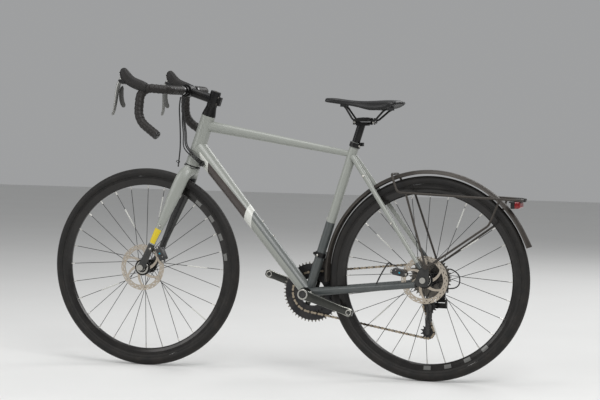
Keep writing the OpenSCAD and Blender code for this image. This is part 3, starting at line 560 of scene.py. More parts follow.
# a plain yellow reflective strip is stuck along each blade's outer face above the end
yellow = plain_material("yellow_strip", linear(214, 190, 30), dust=0.12, tone=0.15, grain=1600.0,
                        roughness=0.45, spread=0.1, bump=0.1)
for s, side in ((1, "left"), (-1, "right")):
    strip = bmesh.new()
    route = [mm(530, s * 53.2, 480), mm(540, s * 54.5, 459), mm(548, s * 55.5, 441), mm(552.5, s * 56, 431)]
    rings = []
    for i, (point, w, d) in enumerate(zip(route, (0.0099, 0.0093, 0.0091, 0.0089),
                                          (0.0141, 0.0129, 0.0120, 0.0116))):
        t = (Vector(route[min(i + 1, 3)]) - Vector(route[max(i - 1, 0)])).normalized()
        wide = (Vector((0, s, 0)) - t * (t.y * s)).normalized()
        deep = t.cross(wide)
        row = []
        for k in range(9):
            turn = math.radians(-58 + 14.5 * k)
            c, q = math.cos(turn), math.sin(turn)
            c = c ** (2 / 2.3)
            q = math.copysign(abs(q) ** (2 / 2.3), q)
            row.append(strip.verts.new(Vector(point) + wide * (w * c) + deep * (d * q)))
        rings.append([strip.edges.new((row[k], row[k + 1])) for k in range(8)])
    for first, second in zip(rings, rings[1:]):
        bmesh.ops.bridge_loops(strip, edges=first + second)
    add_piece(f"fork_strip_{side}", strip, yellow, "steering", 60)

# ---- Front brake hose ----
# The hydraulic hose keeps its CAD tube; a soft tie holds it and the cables at the crown.
tie = bmesh.new()
tube_along(tie, smooth_route([mm(400.5, 6, 692), mm(407, 22, 692), mm(420, 30.5, 693), mm(436, 29, 699), mm(450, 20, 704),
                              mm(458, 6, 706), mm(458, -10, 706), mm(448, -22, 703)], 6), 0.0012, 8)
tube_along(tie, smooth_route([mm(472, 37, 712), mm(477, 34, 716), mm(473, 30, 719), mm(466, 31, 716), mm(465, 35.5, 712),
                              mm(472, 37, 711)], 5), 0.0011, 8)
add_piece("cable_tie", tie, moulded_black, "steering")

# ---- Tyres ----
# Black slick tyres, 33 mm wide: a file-cut centre tread with angled shoulder grooves, smooth
# sidewalls and a moulded bead line.
tyre_rubber, net, bsdf, grain_node = start_material("tyre_rubber", grain=1800.0, roughness=0.6, spread=0.2,
                                                    bump=0.25, specular=0.35)


def tyre_surface(net, bsdf, centre):
    """Angle round the wheel drives the tread cuts; distance from the middle plane limits them."""
    where = add_node(net, "ShaderNodeTexCoord").outputs["Object"]
    parts = add_node(net, "ShaderNodeSeparateXYZ", {0: where})
    x = maths(net, "SUBTRACT", parts.outputs["X"], centre.x)
    z = maths(net, "SUBTRACT", parts.outputs["Z"], centre.z)
    turn = maths(net, "ARCTAN2", z, x)
    wide = add_node(net, "ShaderNodeMath", {0: parts.outputs["Y"]}, operation="ABSOLUTE").outputs[0]
    radius = add_node(net, "ShaderNodeMath", {0: maths(net, "MULTIPLY", x, x), 1: maths(
        net, "MULTIPLY", z, z)}, operation="ADD").outputs[0]
    radius = add_node(net, "ShaderNodeMath", {0: radius}, operation="SQRT").outputs[0]
    phase = maths(net, "ADD", maths(net, "MULTIPLY", turn, 330.0), maths(net, "MULTIPLY", wide, 620.0))
    cuts = add_node(net, "ShaderNodeMath", {0: phase}, operation="SINE").outputs[0]
    cuts = add_node(net, "ShaderNodeMapRange", {"Value": cuts, "From Min": -0.2, "From Max": 0.6}).outputs[0]
    tread = add_node(net, "ShaderNodeMapRange", {"Value": wide, "From Min": 0.0118, "From Max": 0.0108}).outputs[0]
    outer = add_node(net, "ShaderNodeMapRange", {"Value": radius, "From Min": 0.330, "From Max": 0.333}).outputs[0]
    cuts = maths(net, "MULTIPLY", cuts, maths(net, "MULTIPLY", tread, outer))
    relief = add_node(net, "ShaderNodeBump", {"Strength": 0.6, "Distance": 0.0006, "Height": cuts,
                                              "Normal": grain_node.outputs["Normal"]})
    net.links.new(relief.outputs["Normal"], bsdf.inputs["Normal"])
    worn = add_node(net, "ShaderNodeMix", {0: maths(net, "MULTIPLY", cuts, 0.7), 6: linear(19, 18, 17),
                                           7: linear(38, 35, 33)}, data_type="RGBA").outputs[2]
    set_colour(net, bsdf, worn, 0.1, linear(104, 92, 80))


tyre_surface(net, bsdf, FRONT)
rear_rubber, net, bsdf, grain_node = start_material("rear_tyre_rubber", grain=1800.0, roughness=0.6,
                                                    spread=0.2, bump=0.25, specular=0.35)
tyre_surface(net, bsdf, REAR)


def spin_wheel(mesh, profile, centre, steps, closed=True):
    """Spins a profile of (radius, y) round a wheel's axle line."""
    points = [mesh.verts.new((centre.x + r, y, centre.z)) for r, y in profile]
    count = len(points) if closed else len(points) - 1
    edges = [mesh.edges.new((points[i], points[(i + 1) % len(points)])) for i in range(count)]
    bmesh.ops.spin(mesh, geom=points + edges, cent=centre, axis=(0, 1, 0), angle=math.tau, steps=steps,
                   use_merge=True)


tyre_profile = []
for k in range(33):
    turn = math.radians(-128 + 8 * k)
    r, y = 0.3275 + 0.0163 * math.cos(turn), 0.0163 * math.sin(turn)
    if abs(y) < 0.0035 and r > 0.34:
        r += 0.0001
    if 0.0105 < abs(y) < 0.0128 and r > 0.333:
        r -= 0.0006
    tyre_profile.append((r, y))
tyre_profile += [(0.3176, 0.0126), (0.3174, 0.0112), (0.3205, 0.0118), (0.3275, 0.0132), (0.336, 0.0098),
                 (0.3405, 0.0), (0.336, -0.0098), (0.3275, -0.0132), (0.3205, -0.0118), (0.3174, -0.0112),
                 (0.3176, -0.0126)]
for centre, wheel, material in ((FRONT, "front", tyre_rubber), (REAR, "rear", rear_rubber)):
    tyre = bmesh.new()
    spin_wheel(tyre, tyre_profile, centre, 180)
    piece = add_piece(f"{wheel}_tyre_cover", tyre, material, f"{wheel}_wheel", 60)
    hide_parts(f"{wheel}_tyre")

# ---- Rims and spokes ----
# Deep aluminium rims, anodised semi-gloss black. Black round spokes with silver nipples; a few
# spokes carry clipped-on reflector tubes.
BLOCK_STEP = 13.7
for centre, wheel, first, count in ((FRONT, "front", 128.0, 4), (REAR, "rear", -134.0, 4)):
    rim_black, net, bsdf, grain_node = start_material(f"{wheel}_rim_black", grain=1200.0, roughness=0.26, spread=0.1,
                                                      bump=0.03, metallic=0.45, coat=0.2)
    where = add_node(net, "ShaderNodeTexCoord").outputs["Object"]
    shifted = add_node(net, "ShaderNodeVectorMath", {0: where, 1: tuple(centre)}, operation="SUBTRACT")
    axes = add_node(net, "ShaderNodeSeparateXYZ", {0: shifted.outputs[0]})
    turn = maths(net, "DEGREES", maths(net, "ARCTAN2", axes.outputs["Z"], axes.outputs["X"]), 0.0)
    steps = maths(net, "DIVIDE", maths(net, "SUBTRACT", turn, first), BLOCK_STEP)
    block = maths(net, "LESS_THAN", maths(net, "FRACT", steps, 0.0), 0.34)
    block = maths(net, "MULTIPLY", block, maths(net, "GREATER_THAN", steps, 0.0))
    block = maths(net, "MULTIPLY", block, maths(net, "LESS_THAN", steps, float(count)))
    flat = add_node(net, "ShaderNodeVectorMath", {0: where, 1: (1, 0, 1)}, operation="MULTIPLY")
    reach = add_node(net, "ShaderNodeVectorMath", {0: flat.outputs[0], 1: (centre.x, 0, centre.z)},
                     operation="DISTANCE").outputs["Value"]
    block = maths(net, "MULTIPLY", block, above(net, reach, 0.2915))
    block = maths(net, "MULTIPLY", block, maths(net, "LESS_THAN", reach, 0.3045))
    tone = layered(net, linear(34, 32, 31), linear(26, 25, 24), grain_node.outputs["Mask"])
    set_colour(net, bsdf, layered(net, tone, linear(112, 112, 110), block), 0.05)
    finish_nodes((f"{wheel}_rim",), rim_black)
for centre, wheel in ((FRONT, "front"), (REAR, "rear")):
    spoke_finish, net, bsdf, grain_node = start_material(f"{wheel}_spoke_finish", grain=1500.0,
                                                         roughness=0.3, spread=0.1, bump=0.05, metallic=0.8)
    where = add_node(net, "ShaderNodeTexCoord").outputs["Object"]
    flat = add_node(net, "ShaderNodeVectorMath", {0: where, 1: (1, 0, 1)}, operation="MULTIPLY")
    reach = add_node(net, "ShaderNodeVectorMath", {0: flat.outputs[0], 1: (centre.x, 0, centre.z)},
                     operation="DISTANCE").outputs["Value"]
    nipple = above(net, reach, 0.2733)
    set_colour(net, bsdf, layered(net, linear(44, 44, 45), linear(205, 203, 198), nipple), 0.1)
    finish_nodes((f"{wheel}_spokes",), spoke_finish)

reflector_white = plain_material("reflector_white", linear(205, 205, 200), dust=0.2, tone=0.1, grain=1500.0,
                                 roughness=0.35, spread=0.1, bump=0.15)
for centre, wheel, flanges, picks in (
        (FRONT, "front", (0.021, -0.033, 0.022, 0.020), ((14, 0.66), (17, 0.88), (26, 0.52), (5, 0.62), (8, 0.75))),
        (REAR, "rear", (0.033, -0.019, 0.023, 0.023), ((11, 0.62), (9, 0.8), (20, 0.6), (3, 0.68), (25, 0.7)))):
    tubes = bmesh.new()
    for k, at in picks:
        s = 1 if k % 2 == 0 else -1
        d = 1 if (k // 2) % 2 == 0 else -1
        turn = math.tau / 28 * k
        hub_turn = turn + math.radians(68) * d
        fr = flanges[2] if s > 0 else flanges[3]
        p = centre + Vector((fr * math.cos(hub_turn), flanges[0 if s > 0 else 1] + d * 0.0034,
                             fr * math.sin(hub_turn)))
        q = centre + Vector((0.2859 * math.cos(turn), s * 0.002, 0.2859 * math.sin(turn)))
        a, b = p.lerp(q, at - 0.13), p.lerp(q, at + 0.13)
        tube_along(tubes, [a, a.lerp(b, 0.02), a.lerp(b, 0.98), b], [0.0019, 0.0024, 0.0024, 0.0019], 10)
    add_piece(f"{wheel}_spoke_reflectors", tubes, reflector_white, f"{wheel}_wheel")

# ---- Brake discs ----
# Stainless discs, 1.8 mm thick, punched with slots, on a black centre with six swept arms; a
# splined silver lockring holds each to its hub.


def flat_plate(name, loops, thickness, bevel=0.0):
    """A bmesh plate in local XY made from filled closed outlines (outer first, holes after)."""
    curve = bpy.data.curves.new(name, "CURVE")
    curve.dimensions = "2D"
    curve.fill_mode = "BOTH"
    curve.extrude = thickness / 2 - bevel
    curve.bevel_depth = bevel
    curve.bevel_resolution = 1
    for loop in loops:
        line = curve.splines.new("POLY")
        line.points.add(len(loop) - 1)
        for point, (x, y) in zip(line.points, loop):
            point.co = (x, y, 0, 1)
        line.use_cyclic_u = True
    holder = bpy.data.objects.new(name, curve)
    scene.collection.objects.link(holder)
    bpy.context.view_layer.update()
    data = bpy.data.meshes.new_from_object(holder)
    plate = bmesh.new()
    plate.from_mesh(data)
    bpy.data.objects.remove(holder)
    bpy.data.curves.remove(curve)
    bpy.data.meshes.remove(data)
    return plate


def polar(r, degrees):
    return (r * math.cos(math.radians(degrees)), r * math.sin(math.radians(degrees)))


def slot_loop(r, turn, length, width, tilt, n=5):
    """A round-ended slot centred at (r, turn), long side tilted from the circle's tangent."""
    cx, cy = polar(r, turn)
    ux, uy = polar(1, turn + 90 + tilt)
    vx, vy = -uy, ux
    out = []
    for end in (1, -1):
        for k in range(n + 1):
            w = math.radians(-90 + 180 * k / n) + (0 if end > 0 else math.pi)
            a = end * (length - width) / 2 + math.cos(w) * width / 2
            b = math.sin(w) * width / 2
            out.append((cx + ux * a + vx * b, cy + uy * a + vy * b))
    return out


disc_steel, net, bsdf, grain_node = start_material("disc_steel", grain=700.0, roughness=0.3, spread=0.12,
                                                   bump=0.04, metallic=1.0)
bsdf.inputs["Anisotropic"].default_value = 0.3
set_colour(net, bsdf, layered(net, linear(208, 201, 190), linear(186, 172, 154), grain_node.outputs["Mask"]), 0.05)
for centre, y, wheel, hub_y in ((FRONT, 0.0397, "front", 0.036), (REAR, 0.0555, "rear", 0.05)):
    loops = [[polar(0.0797 + 0.0003 * math.cos(math.radians(k * 30)), k * 2.5) for k in range(144)]]
    inner = []
    for k in range(144):
        inner.append(polar(0.0630 + 0.0008 * math.cos(math.radians(k * 15)), k * 2.5))
    loops.append(inner)
    for k in range(24):
        loops.append(slot_loop(0.0756, k * 15, 0.0094, 0.0026, 24))
        loops.append(slot_loop(0.0694, k * 15 + 7.5, 0.0074, 0.0026, -24))
    band = flat_plate("disc_band", loops, 0.0018)
    for k in range(6):
        arm = []
        steps = 8
        for side in (1, -1):
            order = range(steps + 1) if side > 0 else range(steps, -1, -1)
            for j in order:
                t = j / steps
                r = 0.0265 + t * 0.0405
                wide = (0.0056 - 0.0018 * t + 0.0036 * max(0, t - 0.8) / 0.2) / r
                x, z = r * math.cos(math.radians(k * 60 + 34 * t) + side * wide), \
                    r * math.sin(math.radians(k * 60 + 34 * t) + side * wide)
                arm.append((x, z))
        part = flat_plate("disc_arm", [arm], 0.0017)
        data = bpy.data.meshes.new("arm_part")
        part.to_mesh(data)
        part.free()
        band.from_mesh(data)
        bpy.data.meshes.remove(data)
    band.transform(facing(centre + Vector((0, y, 0)), (0, 1, 0), (0, 0, 1)))
    band_piece = add_piece(f"{wheel}_disc_band", band, disc_steel, f"{wheel}_wheel", 30)
    carrier = bmesh.new()
    spin_wheel(carrier, [(0.0150, y - 0.0022), (0.0275, y - 0.0022), (0.0285, y - 0.0012), (0.0285, y + 0.0012),
                         (0.0275, y + 0.0022), (0.0150, y + 0.0022)], centre, 48)
    add_piece(f"{wheel}_disc_carrier", carrier, black_alloy, f"{wheel}_wheel")
    ring = bmesh.new()
    reach = 0.0485 if wheel == "front" else 0.0695
    spin_wheel(ring, [(0.0100, y + 0.0022), (0.0215, y + 0.0022), (0.0222, y + 0.0030), (0.0222, y + 0.0052),
                      (0.0212, y + 0.0060), (0.0175, y + 0.0062), (0.0165, y + 0.0050), (0.0128, y + 0.0050),
                      (0.0122, reach - 0.0008), (0.0110, reach), (0.0100, reach)], centre, 48)
    for k in range(16):
        turn = math.tau * k / 16
        at = centre + Vector((0.0192 * math.cos(turn), y + 0.0064, 0.0192 * math.sin(turn)))
        place = Matrix.Translation(at) @ Matrix.Rotation(-turn, 4, "Y") @ Matrix.Diagonal((0.0034, 0.0012, 0.0016, 1))
        bmesh.ops.create_cube(ring, size=1, matrix=place)
    add_piece(f"{wheel}_disc_lockring", ring, silver_alloy, f"{wheel}_wheel")
    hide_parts(f"{wheel}_disc")

# ---- Chain ----
# A narrow roller chain: figure-eight steel plates riveted in pairs, wide links over narrow ones,
# with a roller on every pin.
PITCH = 0.0127
CHAIN_Y = -0.0395
wheels = [(Vector((0.0, 0.278)), PITCH * 34 / math.tau, 1), (Vector((-0.421, 0.344)), PITCH * 25 / math.tau, 1),
          (Vector((-0.416, 0.248)), PITCH * 11 / math.tau, -1), (Vector((-0.41166, 0.161108)), PITCH * 11 / math.tau, 1)]
stations = []
for i in range(4):
    (c0, r0, s0), (c1, r1, s1) = wheels[i], wheels[(i + 1) % 4]
    gap = c1 - c0
    k = s0 * r0 - s1 * r1
    stations.append((math.degrees(math.atan2(gap.y, gap.x)) + math.degrees(math.asin(k / gap.length)),
                     math.sqrt(gap.length ** 2 - k ** 2)))
path = []
for i in range(4):
    c, r, s = wheels[i]
    heading, length = stations[i]
    before = stations[i - 1][0]
    turn = ((heading - before) * s) % 360
    count = max(2, int(turn / 4))
    for j in range(count + 1):
        h = math.radians(before + s * turn * j / count)
        path.append(c + Vector((math.sin(h), -math.cos(h))) * (r * s))
    h = math.radians(heading)
    start = c + Vector((math.sin(h), -math.cos(h))) * (r * s)
    for j in range(1, 30):
        path.append(start + Vector((math.cos(h), math.sin(h))) * (length * j / 30))
path.append(path[0])
lengths = [0.0]
for a, b in zip(path, path[1:]):
    lengths.append(lengths[-1] + (b - a).length)
links = int(round(lengths[-1] / PITCH / 2)) * 2


def on_chain(distance):
    distance %= lengths[-1]
    i = next(n for n in range(1, len(lengths)) if lengths[n] >= distance - 1e-9)
    span = lengths[i] - lengths[i - 1]
    return path[i - 1].lerp(path[i], 0 if span < 1e-9 else (distance - lengths[i - 1]) / span)


chain_steel = plain_material("chain_steel", linear(186, 172, 152), dust=0.05, tone=0.4, grain=900.0,
                             roughness=0.36, spread=0.2, bump=0.15, metallic=0.95)
chain_dark = plain_material("chain_dark", linear(72, 64, 56), dust=0.08, tone=0.4, grain=900.0,
                            roughness=0.42, spread=0.2, bump=0.15, metallic=0.9)
outer_mesh, inner_mesh = bmesh.new(), bmesh.new()
pins = [on_chain(lengths[-1] * i / links) for i in range(links)]
for i in range(links):
    a, b = pins[i], pins[(i + 1) % links]
    mid, d = (a + b) / 2, (b - a).normalized()
    half = (b - a).length / 2
    turn = math.atan2(d.y, d.x)
    outer = i % 2 == 0
    outline = []
    for end in (1, -1):
        for k in range(6):
            w = math.radians(-120 + 240 * k / 5) + (0 if end > 0 else math.pi)
            outline.append((end * half + 0.0043 * math.cos(w), 0.0043 * math.sin(w)))
        outline.append((0, end * 0.0024))
    links_mesh = outer_mesh if outer else inner_mesh
    for s in (-1, 1):
        y = CHAIN_Y + s * (0.00245 if outer else 0.00158)
        ring = sorted(bmesh.ops.create_circle(links_mesh, segments=14, radius=1.0, cap_ends=True)["verts"],
                      key=lambda v: math.atan2(v.co.y, v.co.x) % math.tau)
        for v, (x, z) in zip(ring, outline):
            v.co = Vector((mid.x + d.x * x - d.y * z, y - 0.0004, mid.y + d.y * x + d.x * z))
        face = next(f for f in links_mesh.faces if all(v in ring for v in f.verts))
        grown = bmesh.ops.extrude_face_region(links_mesh, geom=[face])["geom"]
        bmesh.ops.translate(links_mesh, verts=[v for v in grown if isinstance(v, bmesh.types.BMVert)],
                            vec=(0, 0.0008, 0))
    for radius, deep, target in ((0.0036, 0.0024, inner_mesh), (0.0017, 0.0062, outer_mesh)):
        place = Matrix.Translation((a.x, CHAIN_Y, a.y)) @ Matrix.Rotation(math.pi / 2, 4, "X")
        bmesh.ops.create_cone(target, cap_ends=True, segments=12, radius1=radius, radius2=radius,
                              depth=deep, matrix=place)
chain_piece = add_piece("chain_outer_links", outer_mesh, chain_steel, "frame", 40)
add_piece("chain_inner_links", inner_mesh, chain_dark, "frame", 40)
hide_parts("chain")

# ---- Drivetrain metals ----
# Stamped steel sprockets, forged black-grey chainrings with bright worn tooth tips, moulded pulleys.
cog_steel = plain_material("cog_steel", linear(128, 124, 118), dust=0.12, tone=0.3, grain=900.0,
                           roughness=0.32, spread=0.2, bump=0.1, metallic=0.95)
finish_nodes(("cassette",), cog_steel)
ring_grey, net, bsdf, grain_node = start_material("ring_grey", grain=900.0, roughness=0.34, spread=0.14,
                                                  bump=0.06, metallic=0.8)
place = add_node(net, "ShaderNodeTexCoord").outputs["Object"]
flat = add_node(net, "ShaderNodeVectorMath", {0: place, 1: (1, 0, 1)}, operation="MULTIPLY")
reach = add_node(net, "ShaderNodeVectorMath", {0: flat.outputs[0], 1: (0, 0, 0.278)},
                 operation="DISTANCE").outputs["Value"]
set_colour(net, bsdf, layered(net, linear(52, 52, 54), linear(140, 136, 130), above(net, reach, 0.0975)), 0.14)
finish_nodes(("chainrings",), ring_grey)

# ---- Cranks ----
# Hollow forged alloy arms in dark grey with polished edges. The left arm clamps on the spindle
# with two bolts and a preload cap; the right one carries the rings.
crank_grey, net, bsdf, grain_node = start_material("crank_grey", grain=1100.0, roughness=0.26, spread=0.12,
                                                   bump=0.05, metallic=0.75, coat=0.2)
CRANK_DIR = Vector((-0.9505, 0, -0.3107)).normalized()
CRANK_UP = Vector((-0.3107, 0, 0.9505)).normalized()
reach = add_node(net, "ShaderNodeMath", {0: along(net, CRANK_DIR, BB)}, operation="ABSOLUTE").outputs[0]
sideways = add_node(net, "ShaderNodeMath", {0: along(net, CRANK_UP, BB)}, operation="ABSOLUTE").outputs[0]
half_height = add_node(net, "ShaderNodeMapRange", {"Value": reach, "From Min": 0.018, "From Max": 0.150,
                                                   "To Min": 0.0154, "To Max": 0.0110}).outputs[0]
edge = above(net, maths(net, "SUBTRACT", sideways, half_height), 0.0)
edge = maths(net, "MULTIPLY", edge, above(net, reach, 0.016))
tone = layered(net, linear(66, 67, 63), linear(52, 53, 50), grain_node.outputs["Mask"])
set_colour(net, bsdf, layered(net, tone, linear(168, 168, 160), edge), 0.06)
for s, side in ((1, "left"), (-1, "right")):
    d, up = CRANK_DIR * s, CRANK_UP
    arm = bmesh.new()
    if s > 0:
        stations_y = ((-0.018, 0.0570, 0.0110, 0.0100), (-0.008, 0.0572, 0.0108, 0.0178), (0.004, 0.0575, 0.0105, 0.0192),
                      (0.018, 0.0600, 0.0085, 0.0172), (0.036, 0.0632, 0.0068, 0.0152), (0.075, 0.0650, 0.0060, 0.0140),
                      (0.120, 0.0652, 0.0058, 0.0128), (0.150, 0.0652, 0.0058, 0.0128), (0.166, 0.0652, 0.0060, 0.0146),
                      (0.178, 0.0652, 0.0060, 0.0138), (0.186, 0.0652, 0.0052, 0.0082))
    else:
        stations_y = ((-0.018, -0.0625, 0.0100, 0.0100), (-0.008, -0.0625, 0.0104, 0.0178), (0.004, -0.0625, 0.0104, 0.0192),
                      (0.018, -0.0645, 0.0082, 0.0172), (0.036, -0.0662, 0.0068, 0.0152), (0.075, -0.0665, 0.0062, 0.0140),
                      (0.120, -0.0665, 0.0060, 0.0128), (0.150, -0.0665, 0.0060, 0.0128), (0.166, -0.0665, 0.0062, 0.0146),
                      (0.178, -0.0665, 0.0062, 0.0138), (0.186, -0.0665, 0.0054, 0.0082))
    loft(arm, [(BB + d * along_arm + Vector((0, y, 0)), Vector((0, 1, 0)) * w, up * h)
               for along_arm, y, w, h in stations_y], 28, 3.4)
    bmesh.ops.create_cone(arm, cap_ends=True, segments=36, radius1=0.0189, radius2=0.0189,
                          depth=0.021, matrix=Matrix.Translation(BB + Vector((0, s * (0.0572 if s > 0 else 0.0628), 0)))
                          @ Matrix.Rotation(math.pi / 2, 4, "X"))
    crank = add_piece(f"crank_arm_{side}", arm, crank_grey, "crankset", 40)
    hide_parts(f"crank_{side}")
    trim = bmesh.new()
    face_y = 0.0680 if s > 0 else -0.0732
    cap_profile = [(0, 0.0006), (0.0060, 0.0006), (0.0068, 0.0016), (0.0108, 0.0016), (0.0116, 0.0004), (0.0116, -0.003),
                   (0, -0.003)]
    points = [trim.verts.new((r, 0, h)) for r, h in cap_profile]
    edges = [trim.edges.new((points[i], points[i + 1])) for i in range(len(points) - 1)]
    bmesh.ops.spin(trim, geom=points + edges, cent=(0, 0, 0), axis=(0, 0, 1), angle=math.tau, steps=28,
                   use_merge=True)
    trim.transform(facing(BB + Vector((0, face_y, 0)), (0, s, 0)))
    add_piece(f"crank_cap_{side}", trim, gloss_black, "crankset")
    trim = bmesh.new()
    thread = BB + d * 0.1725
    for y, out in ((0.0650 if s > 0 else -0.0665, 0.0064),):
        profile = [(0.0071, -out), (0.0071, out), (0.0078, out + 0.0004), (0.0098, out + 0.0004), (0.0102, out),
                   (0.0102, -out), (0.0098, -out - 0.0004), (0.0078, -out - 0.0004)]
        points = [trim.verts.new(thread + Vector((r, y + h, 0))) for r, h in profile]
        edges = [trim.edges.new((points[i], points[(i + 1) % len(points)])) for i in range(len(points))]
        bmesh.ops.spin(trim, geom=points + edges, cent=thread, axis=(0, 1, 0), angle=math.tau, steps=30,
                       use_merge=True)
    hub = BB + Vector((0, face_y, 0))
    profile = [(0.0128, -0.002 * s), (0.0128, 0.0004 * s), (0.0134, 0.0010 * s), (0.0172, 0.0010 * s),
               (0.0180, 0.0002 * s), (0.0180, -0.002 * s)]
    points = [trim.verts.new(hub + Vector((r, h, 0))) for r, h in profile]
    edges = [trim.edges.new((points[i], points[(i + 1) % len(points)])) for i in range(len(points))]
    bmesh.ops.spin(trim, geom=points + edges, cent=hub, axis=(0, 1, 0), angle=math.tau, steps=36, use_merge=True)
    if s > 0:
        for q in (0.012, -0.012):
            button_bolt(trim, BB + d * 0.023 + up * (0.0158 if q > 0 else -0.0158) + Vector((0, 0.058, 0)),
                        up * (1 if q > 0 else -1), 0.0036)
    add_piece(f"crank_trim_{side}", trim, silver_alloy, "crankset")
spider = bmesh.new()
for turn in (25, 115, 205, 295):
    x, z = polar(1, turn)
    out = Vector((x, 0, z))
    loft(spider, [(BB + out * r + Vector((0, y, 0)), Vector((-z, 0, x)) * w, Vector((0, 1, 0)) * t)
                  for r, y, w, t in ((0.010, -0.0570, 0.0145, 0.0045), (0.024, -0.0560, 0.0115, 0.0042),
                                     (0.040, -0.0535, 0.0092, 0.0036), (0.0555, -0.0515, 0.0095, 0.0028),
                                     (0.0600, -0.0512, 0.0060, 0.0020))], 20, 3)
    button_bolt(spider, BB + out * 0.053 + Vector((0, -0.0540, 0)), (0, -1, 0), 0.0048)
bmesh.ops.create_cone(spider, cap_ends=True, segments=32, radius1=0.012, radius2=0.012, depth=0.118,
                      matrix=Matrix.Translation(BB + Vector((0, 0.003, 0))) @ Matrix.Rotation(math.pi / 2, 4, "X"))
add_piece("crank_spider", spider, crank_grey, "crankset", 40)

# ---- Bar tape ----
# Black cork-feel tape is wound from each bar end to the clamp area, every turn overlapping the
# last; a moulded plug closes each end.


def filleted(points, radii, steps=7):
    """Route through the points with round corners of the given radii."""
    pts = [Vector(p) for p in points]
    out = [pts[0]]
    for i in range(1, len(pts) - 1):
        a, b = (pts[i - 1] - pts[i]).normalized(), (pts[i + 1] - pts[i]).normalized()
        half = a.angle(b) / 2
        centre = pts[i] + (a + b).normalized() * (radii[i - 1] / math.sin(half))
        e = (pts[i] + a * (radii[i - 1] / math.tan(half)) - centre).normalized()
        for j in range(steps + 1):
            w = (math.pi - 2 * half) * j / steps
            f = (e * math.cos(w) - a * math.sin(w)).normalized()
            out.append(centre + f * radii[i - 1])
    return out + [pts[-1]]


def even_route(points, gap):
    """The same route with points at one even gap."""
    out, left = [points[0]], gap
    for a, b in zip(points, points[1:]):
        span = (b - a).length
        while left < span:
            out.append(a.lerp(b, left / span))
            left += gap
        left -= span
    return out + [points[-1]]


tape_black = plain_material("tape_black", linear(30, 27, 25), dust=0.06, tone=0.25, grain=1900.0,
                            roughness=0.5, spread=0.2, bump=0.45, specular=0.35)
tape = bmesh.new()
plugs = bmesh.new()
for s in (-1, 1):
    route = even_route(filleted([mm(450, s * 60, 960), mm(450, s * 184, 960), mm(541, s * 206, 967),
                                 mm(545, s * 220, 858), mm(466, s * 240, 806)], (0.05, 0.038, 0.07)), 0.0011)
    across = None
    last_ring = None
    travelled = 0.0
    for i, point in enumerate(route):
        t = (route[min(i + 1, len(route) - 1)] - route[max(i - 1, 0)]).normalized()
        across = t.orthogonal().normalized() if across is None else (across - t * across.dot(t)).normalized()
        side = t.cross(across)
        place = Matrix.Translation(point) @ Matrix((across, side, t)).transposed().to_4x4()
        ring = new_ring(tape, 20, 0.0150)
        bmesh.ops.transform(tape, verts=ring, matrix=place)
        for k, v in enumerate(ring):
            phase = (travelled / 0.0155 + s * k / 20) % 1.0
            lift = 0.0014 * (phase / 0.85 if phase < 0.85 else (1 - phase) / 0.15)
            v.co += (v.co - point).normalized() * (lift - 0.0006)
        edges = ring_edges(tape, ring)
        if last_ring:
            bmesh.ops.bridge_loops(tape, edges=last_ring + edges)
        last_ring = edges
        travelled += 0.0011
    end, before = route[-1], route[-4]
    plug_profile = [(0, 0.0032), (0.0100, 0.0030), (0.0135, 0.0020), (0.0150, 0.0002), (0.0152, -0.0012), (0, -0.0012)]
    points = [plugs.verts.new((r, 0, h)) for r, h in plug_profile]
    edges = [plugs.edges.new((points[i], points[i + 1])) for i in range(len(points) - 1)]
    fresh = bmesh.ops.spin(plugs, geom=points + edges, cent=(0, 0, 0), axis=(0, 0, 1), angle=math.tau,
                           steps=24, use_merge=True)
    moved = [v for v in plugs.verts if v.co.length < 0.03]
    bmesh.ops.transform(plugs, verts=moved, matrix=facing(end, end - before))
tape_piece = add_piece("bar_tape_wrap", tape, tape_black, "steering", 40)
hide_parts("bar_tape")
add_piece("bar_plugs", plugs, gloss_black, "steering")
collar = bmesh.new()
for s in (-1, 1):
    loft(collar, [(mm(450, s * y, 960), Vector((1, 0, 0)) * r, Vector((0, 0, 1)) * r)
                  for y, r in ((58.5, 0.0150), (58.5, 0.0158), (70, 0.0160), (70.5, 0.0153))], 32)
add_piece("tape_bands", collar, gloss_black, "steering")

# ---- Stem fittings ----
# The stem's steel clamp bolts and its flush top cap; four bolts hold the face plate on the bar.
stem_bolts = bmesh.new()
top = HEAD_LOW + HEAD_DIR * 0.2668
button_bolt(stem_bolts, top, HEAD_DIR, 0.0052, 0.0022)
bar_centre = Vector((0.450, 0, 0.960))
forward = Vector((0.9514, 0, 0.3079))
for s in (-1, 1):
    for v in (-1, 1):
        button_bolt(stem_bolts, bar_centre + Vector((0.9986, 0, 0.052)) * 0.0196 + Vector((-0.052, 0, 0.9986)) * (0.0108 * v)
                    + Vector((0, 0.0165 * s, 0)), (0.9986, 0, 0.052), 0.0042)
for d in (0.226, 0.250):
    button_bolt(stem_bolts, HEAD_LOW + HEAD_DIR * d - forward * 0.0168 + Vector((0, 0.0055, 0)), -forward + Vector((0, 0.35, 0)), 0.0042)
add_piece("stem_bolts", stem_bolts, dark_steel, "steering")
plate = bmesh.new()
for s in (-1, 1):
    bmesh.ops.create_cone(plate, cap_ends=True, segments=48, radius1=0.0216, radius2=0.0216, depth=0.0125,
                          matrix=Matrix.Translation(bar_centre + Vector((0, s * 0.0165, 0)))
                          @ Matrix.Rotation(math.pi / 2, 4, "X"))
bmesh.ops.bevel(plate, geom=plate.edges[:], offset=0.0008, segments=2, profile=0.5, affect="EDGES", material=-1)
add_piece("stem_face_plate", plate, black_alloy, "steering")

lever_grey = plain_material("lever_grey", linear(140, 140, 137), dust=0.08, tone=0.15, grain=900.0,
                            roughness=0.28, spread=0.12, bump=0.05, metallic=0.9)

